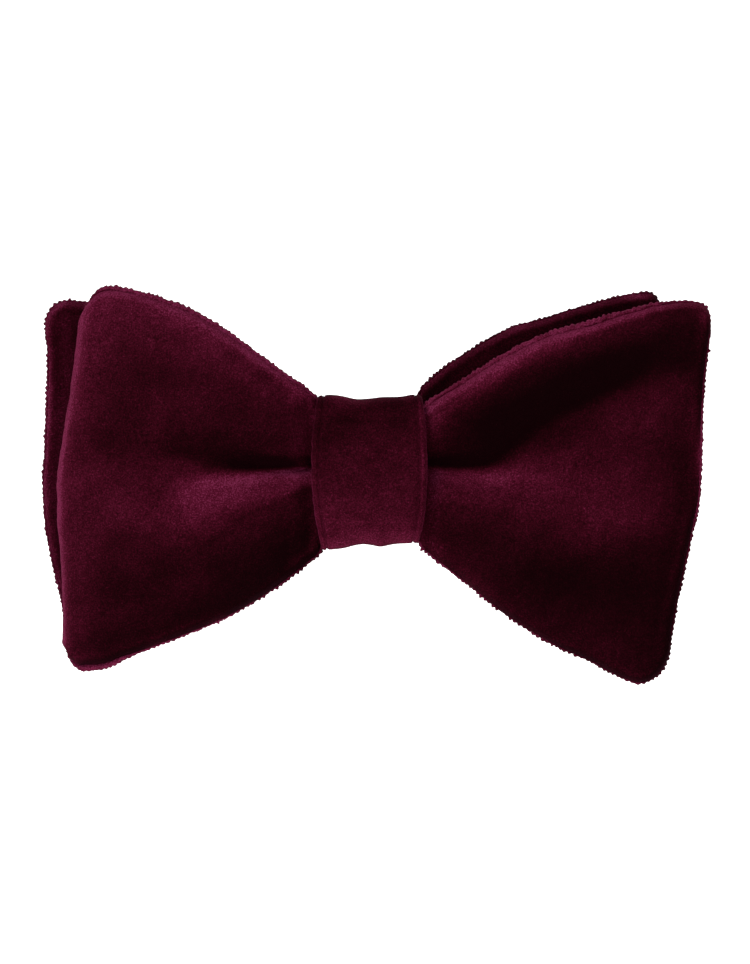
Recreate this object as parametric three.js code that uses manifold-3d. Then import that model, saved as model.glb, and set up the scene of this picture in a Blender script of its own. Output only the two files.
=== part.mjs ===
// A pre-tied velvet bow tie on an adjustable neck strap, as a three.js scene graph.
// Millimetres, +Z up. The origin is the middle of the neck opening, at the strap's mid-height.
// The bow faces -Y, the strap runs round the neck behind it, and +X is the viewer's right.
import * as THREE from "three";
import { mergeVertices, mergeGeometries } from "three/addons/utils/BufferGeometryUtils.js";
import Module from "manifold-3d";

const wasm = await Module();
wasm.setup();

// ---- Driving dimensions ----

const FIT_GAP = 0.3; // clearance between neighbouring pieces

// Neck strap: a ribbon on a circle round the neck
const STRAP_RADIUS = 61; // to the middle of its thickness
const STRAP_HEIGHT = 18;
const STRAP_THICK = 1.1;
const RETURN_THICK = 0.9; // the adjustable layer that runs back to the slide
const ARC_STEP = 4; // degrees for each facet of the ribbon

// Places round the neck, in degrees from the front, positive towards +X
const HINGES = [-36, -92, -148, -204]; // where the strap flexes as it opens
const HINGE_GAP = 0.6; // from each ribbon end to the flex line
const EYE_BAR_AT = 17.2;
const HOOK_BAR_AT = 35.5;
const RETURN_LAYER_END = 84;
const SLIDE_AT = 99.5;
const LABEL_AT = -176;

// Layers of the strap where it doubles back round a bar
const INNER_LAYER_RADIUS = 58;
const BAR_RADIUS_AT = (STRAP_RADIUS + INNER_LAYER_RADIUS) / 2; // distance of a bar from the origin
const BAR_THICK = 0.9;

// Blade: one layer of the bow, a sewn tube of two velvet panels over an interlining
const BLADE_HALF = 1.5; // half the thickness of a blade
const PANEL_THICK = 0.9;
const INTERLINING_HALF = 0.2;
const INTERLINING_INSET = 0.06; // share of the height, for the seam allowance

// Waist: where the blades are gathered under the knot
const WAIST_HALF_HEIGHT = 10.4;
const WAIST_REACH = 10.7; // half the length that the knot grips
const FLARE_REACH = 12.4; // where the wings have their full height
const FRONT_BOW_Y = { main: -76.9, back: -70.95 };
const REAR_BOW_Y = { main: -67.6, back: -64.25 };

// Knot: a velvet band wrapped round the waist and the strap
const KNOT_WIDTH = 21;
const KNOT_HALF_HEIGHT = 14.1;
const KNOT_FRONT_Y = -81.8;
const KNOT_BACK_Y = -55.5;
const WRAP_THICK = 1.4;
const LAP_EDGE_Z = 4.5; // where the wrap's outer end stops, at the back
const THREAD_WIDTH = 3;
const STITCH = 0.5; // thickness of a line of stitches

// ---- Colours ----

const velvet = new THREE.MeshStandardMaterial({ color: 0x43061d, roughness: 0.95, metalness: 0 });
const darkVelvet = new THREE.MeshStandardMaterial({ color: 0x2c0413, roughness: 0.95, metalness: 0 });
const satin = new THREE.MeshStandardMaterial({ color: 0x3a0a1c, roughness: 0.5, metalness: 0 });
const canvasCloth = new THREE.MeshStandardMaterial({ color: 0xd9d2c2, roughness: 1, metalness: 0 });
const thread = new THREE.MeshStandardMaterial({ color: 0x2a0612, roughness: 0.7, metalness: 0 });
const labelSatin = new THREE.MeshStandardMaterial({ color: 0x14100f, roughness: 0.45, metalness: 0 });
const nickel = new THREE.MeshStandardMaterial({ color: 0xc9c7c2, roughness: 0.22, metalness: 1 });

// ---- Small tools ----

const radians = THREE.MathUtils.degToRad;
const mix = (a, b, t) => a + (b - a) * t;

// A smooth function through hand-set [x, y] pairs, level beyond its ends.
function through(points) {
  const slope = points.map((_, i) => {
    const a = points[Math.max(i - 1, 0)];
    const b = points[Math.min(i + 1, points.length - 1)];
    return (b[1] - a[1]) / (b[0] - a[0]);
  });
  return (x) => {
    if (x <= points[0][0]) return points[0][1];
    for (let i = 1; i < points.length; i++) {
      const [x0, y0] = points[i - 1];
      const [x1, y1] = points[i];
      if (x > x1) continue;
      const w = x1 - x0;
      const t = (x - x0) / w;
      const blend = t * t * (3 - 2 * t);
      const rise = t * (1 - t) * (1 - t) * w * slope[i - 1];
      const fall = t * t * (1 - t) * w * slope[i];
      return mix(y0, y1, blend) + rise - fall;
    }
    return points[points.length - 1][1];
  };
}

// A geometry as a manifold-3d solid, and back.
function solidOf(geometry) {
  const bare = geometry.clone();
  bare.deleteAttribute("normal");
  bare.deleteAttribute("uv");
  const merged = mergeVertices(bare, 1e-4);
  return new wasm.Manifold(
    new wasm.Mesh({
      numProp: 3,
      vertProperties: merged.getAttribute("position").array,
      triVerts: new Uint32Array(merged.index.array),
    }),
  );
}

function geometryOf(solid) {
  const mesh = solid.getMesh();
  const geometry = new THREE.BufferGeometry();
  geometry.setAttribute("position", new THREE.BufferAttribute(mesh.vertProperties, 3));
  geometry.setIndex(new THREE.BufferAttribute(mesh.triVerts, 1));
  geometry.computeVertexNormals();
  return geometry;
}

function joined(...geometries) {
  return geometryOf(geometries.map(solidOf).reduce((all, next) => all.add(next)));
}

function node(name, geometry, material, parent) {
  const mesh = new THREE.Mesh(geometry, material);
  mesh.name = name;
  parent.add(mesh);
  return mesh;
}

// ---- Ribbons: a flat path with a thickness, extruded ----

function ribbonShape(path, thick) {
  const side = (sign) =>
    path.map((point, i) => {
      const before = path[Math.max(i - 1, 0)];
      const after = path[Math.min(i + 1, path.length - 1)];
      const along = new THREE.Vector2().subVectors(after, before).normalize();
      return new THREE.Vector2(
        point.x - (along.y * sign * thick) / 2,
        point.y + (along.x * sign * thick) / 2,
      );
    });
  return new THREE.Shape([...side(-1), ...side(1).reverse()]);
}

// Extruded along Z and centred on z = 0.
function extruded(shape, depth) {
  const geometry = new THREE.ExtrudeGeometry(shape, { depth, bevelEnabled: false });
  return geometry.translate(0, 0, -depth / 2);
}

// A shape drawn in the Y-Z plane, extruded along X and centred on x = 0.
function extrudedAcross(shape, width) {
  const turn = new THREE.Matrix4().makeBasis(
    new THREE.Vector3(0, 1, 0),
    new THREE.Vector3(0, 0, 1),
    new THREE.Vector3(1, 0, 0),
  );
  return extruded(shape, width).applyMatrix4(turn);
}

// The point at a distance and an angle round the neck, from the front towards +X.
function round(radius, degrees) {
  const a = radians(degrees);
  return new THREE.Vector2(radius * Math.sin(a), -radius * Math.cos(a));
}

function neckArc(radius, from, to) {
  const steps = Math.max(1, Math.ceil(Math.abs(to - from) / ARC_STEP));
  return Array.from({ length: steps + 1 }, (_, i) => round(radius, mix(from, to, i / steps)));
}

// The half turn of a ribbon round a bar, from the outer layer to the inner one.
function turnRound(centre, radius, degrees, side) {
  const steps = 8;
  return Array.from({ length: steps - 1 }, (_, i) => {
    const turn = radians(degrees - 90 + side * 180 * ((i + 1) / steps));
    return new THREE.Vector2(
      centre.x + radius * Math.cos(turn),
      centre.y + radius * Math.sin(turn),
    );
  });
}

const degreesOf = (length) => THREE.MathUtils.radToDeg(length / STRAP_RADIUS);

// ---- Wings of the bow ----

// Outlines are in millimetres from the knot's middle: distance outwards, then height.
const FRONT_LEFT = {
  side: -1,
  reach: 58.3,
  top: through([[12.4, 16.2], [23.4, 24.1], [32.4, 29.9], [41.3, 33.1], [49, 34.4], [58.3, 33]]),
  bottom: through([[12.4, -17.6], [25.6, -26.7], [34.6, -30.7], [43.6, -34], [52.5, -36.8], [58.3, -37.6]]),
  edge: through([[-37, 56.6], [-24, 57.5], [-9, 58.3], [2, 57.8], [10, 56.5], [20, 55.2], [34, 53.8]]),
  corner: { top: 6, bottom: 3.5 },
  depth: through([[10.6, 0], [20, -2.4], [32, -4], [45, -2.6], [54, -0.6]]),
  crease: { height: 0.8, rise: 0.3, fade: through([[10.6, 2], [15, 4.2], [22, 4], [32, 2.6], [44, 1], [56, 0.3]]) },
};
const FRONT_RIGHT = {
  side: 1,
  reach: 63.8,
  top: through([[12.4, 14.4], [25, 22], [32.5, 25.8], [40, 28.3], [47.8, 30.2], [57.3, 31.9], [63.8, 31.6]]),
  bottom: through([[12.4, -16.6], [19.3, -21.9], [28.2, -29], [37.2, -33.8], [46.2, -38], [52, -39.5], [63.8, -40]]),
  edge: through([[-39, 54.6], [-26.6, 57.4], [-14.4, 59.7], [-3, 61.8], [11, 62.3], [20, 63], [32, 63.8]]),
  corner: { top: 3, bottom: 4.5 },
  depth: through([[10.6, 0], [22, -2.2], [36, -3.2], [50, -2], [63, -0.4]]),
  crease: { height: 1.2, rise: 0.45, fade: through([[10.6, 2], [15, 4], [26, 4], [40, 3], [52, 1.8], [63, 0.8]]) },
};
const REAR_LEFT = {
  side: -1,
  reach: 61.1,
  top: through([[12.4, 14.6], [30, 26.5], [45, 31], [55, 32.3], [61.1, 32.2]]),
  bottom: through([[12.4, -14.6], [30, -25.5], [45, -31], [61.1, -34.5]]),
  edge: through([[-34, 56.4], [-24, 57.8], [-11, 60], [-2, 61.1], [8, 60.4], [20, 60.2], [32, 60.8]]),
  corner: { top: 3, bottom: 4 },
  depth: through([[10.6, 0], [30, 1.2], [46, 1.6], [61, 0.4]]),
  crease: { height: 0, rise: 0, fade: through([[10.6, 0], [22, 1.2], [40, 0.6], [60, 0]]) },
};
const REAR_RIGHT = {
  side: 1,
  reach: 58.5,
  top: through([[12.4, 18], [18.8, 22.9], [24.1, 25.9], [34.8, 29.4], [45.8, 32.4], [52, 33.6], [58.5, 33]]),
  bottom: through([[12.4, -14.6], [28, -27], [44, -34], [58.5, -36.5]]),
  edge: through([[-36, 54], [-20, 56.6], [0, 58.5], [16, 58.2], [33, 56.2]]),
  corner: { top: 4.5, bottom: 5 },
  depth: through([[10.6, 0], [25, -2.6], [40, -3.2], [52, -1.4]]),
  crease: { height: 0, rise: 0, fade: through([[10.6, 0], [22, 1], [40, 0.6], [56, 0]]) },
};
const CREASE_WIDTH = through([[10.6, 2.6], [15, 3], [22, 4.5], [32, 7], [60, 9]]);
const EDGE_ROLL = 1.8; // how far the long edges curl back

// How much a rounded corner takes off the height, near the outer edge.
function cornerCut(out, reach, radius) {
  const into = (out - (reach - radius)) / radius;
  return into <= 0 ? 0 : radius * (1 - Math.sqrt(Math.max(0, 1 - Math.min(into, 1) ** 2)));
}

// A point of a wing's middle surface. out runs 0 to 1 from the knot, up runs 0 to 1 from the
// bottom edge, waistY is the depth of this layer in the knot, and short is what a fold takes off.
function wingPoint(wing, out, up, waistY, { short = 0, relief = 1 } = {}) {
  const nominal = mix(FLARE_REACH, wing.reach, out);
  const top = wing.top(nominal) - cornerCut(nominal, wing.reach, wing.corner.top);
  const bottom = wing.bottom(nominal) + cornerCut(nominal, wing.reach, wing.corner.bottom);
  const z = mix(bottom, top, up);
  const x = mix(FLARE_REACH, wing.edge(z) - short, out);
  const { height, rise, fade } = wing.crease;
  const away = (z - height - rise * (x - WAIST_REACH)) / CREASE_WIDTH(x);
  const crease = fade(x) * Math.exp(-away * away);
  const roll = EDGE_ROLL * (2 * up - 1) ** 4 * Math.min(1, out * 4, (1 - out) * 4);
  return new THREE.Vector3(wing.side * x, waistY + relief * (wing.depth(x) + crease + roll), z);
}

// The gathered part inside the knot, at a distance x along it.
function waistPoint(x, up, waistY, creaseHere) {
  const z = mix(-WAIST_HALF_HEIGHT, WAIST_HALF_HEIGHT, up);
  const away = z / CREASE_WIDTH(0);
  return new THREE.Vector3(x, waistY + creaseHere * Math.exp(-away * away), z);
}

// One strip of the bow: a flat end on one side, the gathered waist, a wing on the other side, a
// fold, and a layer that runs back to the waist. Each station has its points up the strip, and
// the direction that its outer face looks.
function stripStations({ flatEnd, loop, y, creaseInKnot, loopFold }, rows) {
  const ups = Array.from({ length: rows + 1 }, (_, i) => i / rows);
  const front = new THREE.Vector3(0, -1, 0);
  const back = new THREE.Vector3(0, 1, 0);
  const endOuts = [1, 0.985, 0.95, 0.85, 0.68, 0.5, 0.32, 0.15, 0];
  const loopOuts = [0, 0.15, 0.34, 0.55, 0.76, 0.9, 0.96, 1];
  const stations = [];
  const add = (points, facing) => stations.push({ points, facing });
  endOuts.forEach((out) => add(ups.map((up) => wingPoint(flatEnd, out, up, y.main)), front));
  [1, 0, -1].forEach((share) => {
    const x = flatEnd.side * share * WAIST_REACH;
    add(ups.map((up) => waistPoint(x, up, y.main, creaseInKnot)), front);
  });
  const short = loopFold + BLADE_HALF;
  const frontLayer = (out, up) => wingPoint(loop, out, up, y.main, { short });
  loopOuts.forEach((out) => add(ups.map((up) => frontLayer(out, up)), front));
  const backLayer = (out, up) => wingPoint(loop, out, up, y.back, { short, relief: -0.1 });
  [0.25, 0.5, 0.75].forEach((share) => {
    const turn = Math.PI * share;
    const facing = new THREE.Vector3(loop.side * Math.sin(turn), -Math.cos(turn), 0);
    add(
      ups.map((up) => {
        const a = frontLayer(1, up);
        const b = backLayer(1, up);
        const reach = loopFold * Math.sin(turn);
        return new THREE.Vector3(a.x + loop.side * reach, mix(a.y, b.y, (1 - Math.cos(turn)) / 2), a.z);
      }),
      facing,
    );
  });
  [...loopOuts].reverse().forEach((out) => add(ups.map((up) => backLayer(out, up)), back));
  [1, 0.3].forEach((share) => {
    add(ups.map((up) => waistPoint(loop.side * share * WAIST_REACH, up, y.back, 0)), back);
  });
  return stations;
}

// A closed sheet between two offsets from the strip's middle surface.
function sheetGeometry(stations, from, to) {
  const rows = stations[0].points.length;
  const columns = stations.length;
  const corners = [];
  for (const offset of [from, to]) {
    for (const { points, facing } of stations) {
      for (const point of points) corners.push(...point.clone().addScaledVector(facing, offset).toArray());
    }
  }
  const at = (layer, column, row) => layer * rows * columns + column * rows + row;
  const faces = [];
  const quad = (a, b, c, d) => faces.push(a, b, c, a, c, d);
  for (let i = 0; i + 1 < columns; i++) {
    for (let j = 0; j + 1 < rows; j++) {
      quad(at(1, i, j), at(1, i + 1, j), at(1, i + 1, j + 1), at(1, i, j + 1));
      quad(at(0, i, j), at(0, i, j + 1), at(0, i + 1, j + 1), at(0, i + 1, j));
    }
    quad(at(0, i, 0), at(0, i + 1, 0), at(1, i + 1, 0), at(1, i, 0));
    quad(at(0, i, rows - 1), at(1, i, rows - 1), at(1, i + 1, rows - 1), at(0, i + 1, rows - 1));
  }
  for (let j = 0; j + 1 < rows; j++) {
    quad(at(0, 0, j), at(1, 0, j), at(1, 0, j + 1), at(0, 0, j + 1));
    quad(at(0, columns - 1, j), at(0, columns - 1, j + 1), at(1, columns - 1, j + 1), at(1, columns - 1, j));
  }
  const geometry = new THREE.BufferGeometry();
  geometry.setAttribute("position", new THREE.Float32BufferAttribute(corners, 3));
  geometry.setIndex(faces);
  const solid = solidOf(geometry);
  if (solid.volume() > 0) return geometryOf(solid);
  for (let i = 0; i < faces.length; i += 3) [faces[i + 1], faces[i + 2]] = [faces[i + 2], faces[i + 1]];
  geometry.setIndex(faces);
  return geometryOf(solidOf(geometry));
}

function inset(stations, share) {
  return stations.map(({ points, facing }) => {
    const low = points[0];
    const high = points[points.length - 1];
    const last = points.length - 1;
    const moved = points.map((point, i) => {
      if (i === 0) return low.clone().lerp(points[1], share * last);
      if (i === last) return high.clone().lerp(points[last - 1], share * last);
      return point.clone();
    });
    return { points: moved, facing };
  });
}

function addStrip(parent, name, strip, colour) {
  const stations = stripStations(strip, 8);
  const inner = BLADE_HALF - PANEL_THICK;
  node(`${name}_face_panel`, sheetGeometry(stations, inner, BLADE_HALF), colour, parent);
  node(`${name}_back_panel`, sheetGeometry(stations, -BLADE_HALF, -inner), colour, parent);
  const core = inset(stations.slice(1), INTERLINING_INSET);
  const lining = sheetGeometry(core, -INTERLINING_HALF, INTERLINING_HALF);
  node(`${name}_interlining`, lining, canvasCloth, parent);
}

// ---- Knot ----

// A rounded rectangle as a path in the Y-Z plane, from the back's middle over the top and round.
function loopPath(frontY, backY, halfHeight, corner, bulge = 0) {
  const points = [];
  const quarter = (y, z, from) => {
    for (let i = 0; i <= 4; i++) {
      const a = radians(from + (i * 90) / 4);
      points.push(new THREE.Vector2(y + corner * Math.cos(a), z + corner * Math.sin(a)));
    }
  };
  quarter(backY - corner, halfHeight - corner, 0);
  quarter(frontY + corner, halfHeight - corner, 90);
  if (bulge) points.push(new THREE.Vector2(frontY - bulge, 0));
  quarter(frontY + corner, corner - halfHeight, 180);
  quarter(backY - corner, corner - halfHeight, 270);
  return points;
}

// A closed band: the path's outer outline with a hole.
function bandGeometry(frontY, backY, halfHeight, thick, corner, width) {
  const outline = new THREE.Shape(loopPath(frontY, backY, halfHeight, corner));
  const hole = loopPath(frontY + thick, backY - thick, halfHeight - thick, Math.max(corner - thick, 0.6));
  outline.holes.push(new THREE.Path(hole));
  return extrudedAcross(outline, width);
}

function addKnot(parent) {
  const half = WRAP_THICK / 2;
  const lapStep = WRAP_THICK + FIT_GAP;
  const innerBackY = KNOT_BACK_Y - half - lapStep;
  const around = loopPath(KNOT_FRONT_Y + half, innerBackY, KNOT_HALF_HEIGHT - half, 4);
  const under = new THREE.Vector2(innerBackY, -3);
  const overAt = (z) => new THREE.Vector2(KNOT_BACK_Y - half, z);
  const lap = [overAt(-8.6), overAt(-6), overAt(LAP_EDGE_Z)];
  const body = around.slice(0, -1); // the last corner widens to pass over the inner end
  const wrap = ribbonShape([under, ...body, ...lap], WRAP_THICK);
  node("knot_wrap", extrudedAcross(wrap, KNOT_WIDTH), velvet, parent);

  const stitches = new THREE.BoxGeometry(KNOT_WIDTH - 3, STITCH, STITCH);
  const seamZ = LAP_EDGE_Z + FIT_GAP + STITCH / 2;
  const seamY = innerBackY + half + FIT_GAP + STITCH / 2;
  node("knot_stitches", stitches.translate(0, seamY, seamZ), thread, parent);

  const liningFront = KNOT_FRONT_Y + WRAP_THICK + FIT_GAP;
  const liningBack = innerBackY - half - FIT_GAP;
  const liningTop = KNOT_HALF_HEIGHT - WRAP_THICK - FIT_GAP;
  const lining = bandGeometry(liningFront, liningBack, liningTop, 0.4, 3, KNOT_WIDTH - 2);
  node("knot_interlining", lining, canvasCloth, parent);

  const threadFront = FRONT_BOW_Y.main - BLADE_HALF - 0.9;
  const threadBack = REAR_BOW_Y.back + BLADE_HALF + 0.9;
  const threadTop = WAIST_HALF_HEIGHT + 1.1;
  const wound = bandGeometry(threadFront, threadBack, threadTop, STITCH, 1.7, THREAD_WIDTH);
  node("gathering_thread", wound, thread, parent);
}

// ---- Strap ----

function strapPiece(name, from, to, parent) {
  const path = neckArc(STRAP_RADIUS, from, to);
  node(name, extruded(ribbonShape(path, STRAP_THICK), STRAP_HEIGHT), satin, parent);
}

function addStrap(parent) {
  const gap = degreesOf(HINGE_GAP);
  const [first, second, third, fourth] = HINGES;

  // The front length runs through the knot, round the eye's bar and back along the inside.
  const eyeBar = round(BAR_RADIUS_AT, EYE_BAR_AT);
  const turn = (STRAP_RADIUS - INNER_LAYER_RADIUS) / 2;
  const tab = [
    ...neckArc(STRAP_RADIUS, first + gap, EYE_BAR_AT),
    ...turnRound(eyeBar, turn, EYE_BAR_AT, 1),
    ...neckArc(INNER_LAYER_RADIUS, EYE_BAR_AT, EYE_BAR_AT - 5.4),
  ];
  node("strap_front", extruded(ribbonShape(tab, STRAP_THICK), STRAP_HEIGHT), satin, parent);

  strapPiece("strap_left", first - gap, second + gap, parent);
  strapPiece("strap_rear_left", second - gap, third + gap, parent);
  strapPiece("strap_rear", third - gap, fourth + gap, parent);

  // The end length runs to the hook's bar, round it and back along the inside.
  const hookBar = round(BAR_RADIUS_AT, HOOK_BAR_AT);
  const end = [
    ...neckArc(STRAP_RADIUS, fourth + 360 - gap, HOOK_BAR_AT),
    ...turnRound(hookBar, turn, HOOK_BAR_AT, -1),
    ...neckArc(INNER_LAYER_RADIUS, HOOK_BAR_AT, RETURN_LAYER_END),
  ];
  node("strap_end", extruded(ribbonShape(end, STRAP_THICK), STRAP_HEIGHT), satin, parent);

  // The adjustable layer lies between them and is sewn round the slide's bar.
  const middle = BAR_RADIUS_AT;
  const slideTurn = RETURN_THICK / 2 + 0.25 + BAR_THICK / 2;
  const slideBar = round(middle - slideTurn, SLIDE_AT);
  const adjustable = [
    ...neckArc(middle, HOOK_BAR_AT + 8, SLIDE_AT),
    ...turnRound(slideBar, slideTurn, SLIDE_AT, 1),
    ...neckArc(middle - 2 * slideTurn, SLIDE_AT, SLIDE_AT - 8.5),
  ];
  const layer = extruded(ribbonShape(adjustable, RETURN_THICK), STRAP_HEIGHT - 0.4);
  node("strap_return", layer, satin, parent);

  // Bar tacks hold the folded ends, on the side towards the neck.
  const tack = (name, layerRadius, layerThick, at) => {
    const path = neckArc(layerRadius - layerThick / 2 - FIT_GAP - STITCH / 2, at, at + 1.3);
    node(name, extruded(ribbonShape(path, STITCH), STRAP_HEIGHT - 4), thread, parent);
  };
  tack("tab_bar_tack", INNER_LAYER_RADIUS, STRAP_THICK, EYE_BAR_AT - 4.2);
  tack("slide_bar_tack", middle - 2 * slideTurn, RETURN_THICK, SLIDE_AT - 6);

  const labelPath = neckArc(STRAP_RADIUS - STRAP_THICK / 2 - FIT_GAP - 0.25, LABEL_AT - 7, LABEL_AT + 7);
  node("woven_label", extruded(ribbonShape(labelPath, 0.5), 12), labelSatin, parent);
}

// ---- Metal ----

// A plate in the local X-Z plane, centred on y = 0, with rectangular windows.
function plate(width, height, thick, corner, windows) {
  const rectangle = (kind, w, h, x, r) => {
    const points = [];
    [[1, 1, 0], [-1, 1, 90], [-1, -1, 180], [1, -1, 270]].forEach(([sx, sy, from]) => {
      for (let i = 0; i <= 3; i++) {
        const a = radians(from + i * 30);
        const cx = x + sx * (w / 2 - r);
        const cy = sy * (h / 2 - r);
        points.push(new THREE.Vector2(cx + r * Math.cos(a), cy + r * Math.sin(a)));
      }
    });
    return new kind(points);
  };
  const shape = rectangle(THREE.Shape, width, height, 0, corner);
  windows.forEach(([x, w, h]) => shape.holes.push(rectangle(THREE.Path, w, h, x, 0.5)));
  return extruded(shape, thick).rotateX(Math.PI / 2);
}

const HARDWARE_HEIGHT = 22;
const WINDOW_HEIGHT = 18.8;
const EYE_LENGTH = 12.3; // outside, along the strap
const EYE_BAR_WIDTH = 1.8;
const HOOK_FRAME_LENGTH = 5.9;
const TONGUE_WIDTH = 10;

// A group at a bar, with +X along the strap away from the knot and +Y towards the neck.
function hardwareGroup(parent, radius, at, heading) {
  const group = new THREE.Group();
  const place = round(radius, at);
  group.position.set(place.x, place.y, 0);
  group.rotation.z = radians(heading);
  parent.add(group);
  return group;
}

function addEye(parent) {
  const group = hardwareGroup(parent, BAR_RADIUS_AT, EYE_BAR_AT, EYE_BAR_AT + 5.05);
  const window = EYE_LENGTH - BAR_THICK - EYE_BAR_WIDTH;
  const frame = plate(EYE_LENGTH, HARDWARE_HEIGHT, BAR_THICK, 1.6, [
    [(BAR_THICK - EYE_BAR_WIDTH) / 2, window, WINDOW_HEIGHT],
  ]);
  node("eye", frame.translate((EYE_LENGTH - BAR_THICK) / 2, 0, 0), nickel, group);
}

function addHook(parent) {
  const group = hardwareGroup(parent, BAR_RADIUS_AT, HOOK_BAR_AT, HOOK_BAR_AT - 7.5);
  const frame = plate(HOOK_FRAME_LENGTH, HARDWARE_HEIGHT, BAR_THICK, 1.4, [
    [0.35, HOOK_FRAME_LENGTH - 2.7, WINDOW_HEIGHT],
  ]).translate(-(HOOK_FRAME_LENGTH - BAR_THICK) / 2, 0, 0);
  const profile = [
    [-4.2, 0],
    [-5.2, 0.1],
    [-6.4, 0.75],
    [-7.4, 0.95],
    [-13.4, 0.95],
    [-14.5, 0.65],
    [-15, -0.2],
    [-14.9, -0.95],
    [-14.3, -1.45],
  ];
  const bent = profile.map(([x, y]) => new THREE.Vector2(x, y));
  const tongue = extruded(ribbonShape(bent, BAR_THICK), TONGUE_WIDTH);
  node("hook", joined(frame, tongue), nickel, group);
}

function addSlide(parent) {
  const barRadius = BAR_RADIUS_AT - (RETURN_THICK / 2 + 0.25 + BAR_THICK / 2);
  const group = hardwareGroup(parent, barRadius, SLIDE_AT, SLIDE_AT);
  const outerY = -(STRAP_RADIUS + STRAP_THICK / 2 + FIT_GAP + 0.6 - barRadius);
  const face = plate(11.4, HARDWARE_HEIGHT, 1.2, 1.6, [[0, 8.2, WINDOW_HEIGHT]]).translate(0, outerY - 0.35, 0);
  const postHeight = (HARDWARE_HEIGHT - WINDOW_HEIGHT) / 2;
  const posts = [-1, 1].map((end) => {
    const post = new THREE.BoxGeometry(3, Math.abs(outerY) + 0.9, postHeight - 0.1);
    return post.translate(0, (outerY + 0.1) / 2, end * (HARDWARE_HEIGHT / 2 - postHeight / 2));
  });
  const bar = new THREE.CylinderGeometry(BAR_THICK / 2, BAR_THICK / 2, HARDWARE_HEIGHT - 1, 10);
  node("slide", joined(face, ...posts, bar.rotateX(Math.PI / 2)), nickel, group);
}

// ---- The whole tie ----

const tie = new THREE.Group();
addStrip(tie, "front_bow", { flatEnd: FRONT_RIGHT, loop: FRONT_LEFT, y: FRONT_BOW_Y, creaseInKnot: 2, loopFold: 2.6 }, velvet);
addStrip(tie, "rear_bow", { flatEnd: REAR_LEFT, loop: REAR_RIGHT, y: REAR_BOW_Y, creaseInKnot: 0, loopFold: 1.7 }, darkVelvet);
addKnot(tie);
addStrap(tie);
addEye(tie);
addHook(tie);
addSlide(tie);

export default tie;
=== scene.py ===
"""Looks of the velvet bow tie: every visible piece as finished cloth, thread or metal, on the CAD's frame."""

import math

import bmesh
import bpy
import numpy as np
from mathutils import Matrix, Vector, kdtree


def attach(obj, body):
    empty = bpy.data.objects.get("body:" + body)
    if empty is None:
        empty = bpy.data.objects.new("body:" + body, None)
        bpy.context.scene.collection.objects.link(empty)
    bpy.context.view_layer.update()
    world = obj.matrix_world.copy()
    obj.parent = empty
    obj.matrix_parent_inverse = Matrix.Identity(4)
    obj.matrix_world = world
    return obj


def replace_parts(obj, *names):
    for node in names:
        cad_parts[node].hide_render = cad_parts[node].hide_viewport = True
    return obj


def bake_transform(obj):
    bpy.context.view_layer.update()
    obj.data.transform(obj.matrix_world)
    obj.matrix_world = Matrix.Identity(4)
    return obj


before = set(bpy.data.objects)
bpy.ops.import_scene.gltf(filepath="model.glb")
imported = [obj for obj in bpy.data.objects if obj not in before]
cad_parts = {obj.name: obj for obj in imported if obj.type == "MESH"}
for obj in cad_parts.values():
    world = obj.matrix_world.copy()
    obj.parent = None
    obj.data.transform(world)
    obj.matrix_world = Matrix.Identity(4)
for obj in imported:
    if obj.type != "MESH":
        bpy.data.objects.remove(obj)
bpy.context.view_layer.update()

# ---- Dimensions, in millimetres and degrees, in the CAD's frame ----

MM = 0.001
ALONG_X, ALONG_Z = (1, 0, 0), (0, 0, 1)

STRAP_RADIUS = 61
STRAP_HEIGHT = 18
STRAP_THICK = 1.1
RETURN_THICK = 0.9
RETURN_HEIGHT = 17.6
INNER_LAYER_RADIUS = 58
RETURN_RADIUS = 59.5
TAIL_RADIUS = 57.1
HINGES = (-36, -92, -148, -204)
EYE_BAR_AT = 17.2
HOOK_BAR_AT = 35.5
RETURN_LAYER_END = 84
SLIDE_AT = 99.5
LABEL_AT = -176

BLADE_HALF = 1.5
FLARE_REACH = 12.4
KNOT_HALF_HEIGHT = 14.1
KNOT_FRONT_Y = -81.8
KNOT_BACK_Y = -55.5
WRAP_THICK = 1.4
LINING_WIDTH = 14.6
LAP_EDGE_Z = 4.5
FRONT_BOW_Y = (-76.9, -70.95)
REAR_BOW_Y = (-67.6, -64.25)
FRONT_FOLD, REAR_FOLD = 2.6, 1.7


# ---- Number tools ----


def through(*points):
    """A smooth function through [x, y] pairs, level beyond its ends."""
    xs, ys = np.array(points, float).T
    before = np.r_[0, np.arange(len(xs) - 1)]
    after = np.r_[np.arange(1, len(xs)), len(xs) - 1]
    slopes = (ys[after] - ys[before]) / (xs[after] - xs[before])

    def value(x):
        x = np.clip(x, xs[0], xs[-1])
        i = np.clip(np.searchsorted(xs, x, side="right") - 1, 0, len(xs) - 2)
        wide = xs[i + 1] - xs[i]
        t = (x - xs[i]) / wide
        level = ys[i] + (ys[i + 1] - ys[i]) * t * t * (3 - 2 * t)
        rise = slopes[i] * wide * t * (1 - t) ** 2
        fall = slopes[i + 1] * wide * t * t * (1 - t)
        return level + rise - fall

    return value


def mix(a, b, t):
    return a + (b - a) * t


def noise(points, size, seed=0):
    """Smooth noise from -1 to 1 at points, with features of about that size."""
    p = np.asarray(points, float) / size + seed * 17.31
    cell = np.floor(p).astype(np.int64)
    part = p - cell
    part = part * part * (3 - 2 * part)
    total = 0
    for corner in np.ndindex(2, 2, 2):
        at = cell + np.array(corner)
        mixed = at[..., 0] * 73856093 ^ at[..., 1] * 19349663 ^ at[..., 2] * 83492791
        mixed = (mixed ^ (mixed >> 13)) * 1274126177
        value = ((mixed ^ (mixed >> 16)) & 0xFFFF) / 32767.5 - 1
        weight = np.prod(np.where(np.array(corner) == 1, part, 1 - part), axis=-1)
        total = total + value * weight
    return total


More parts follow.
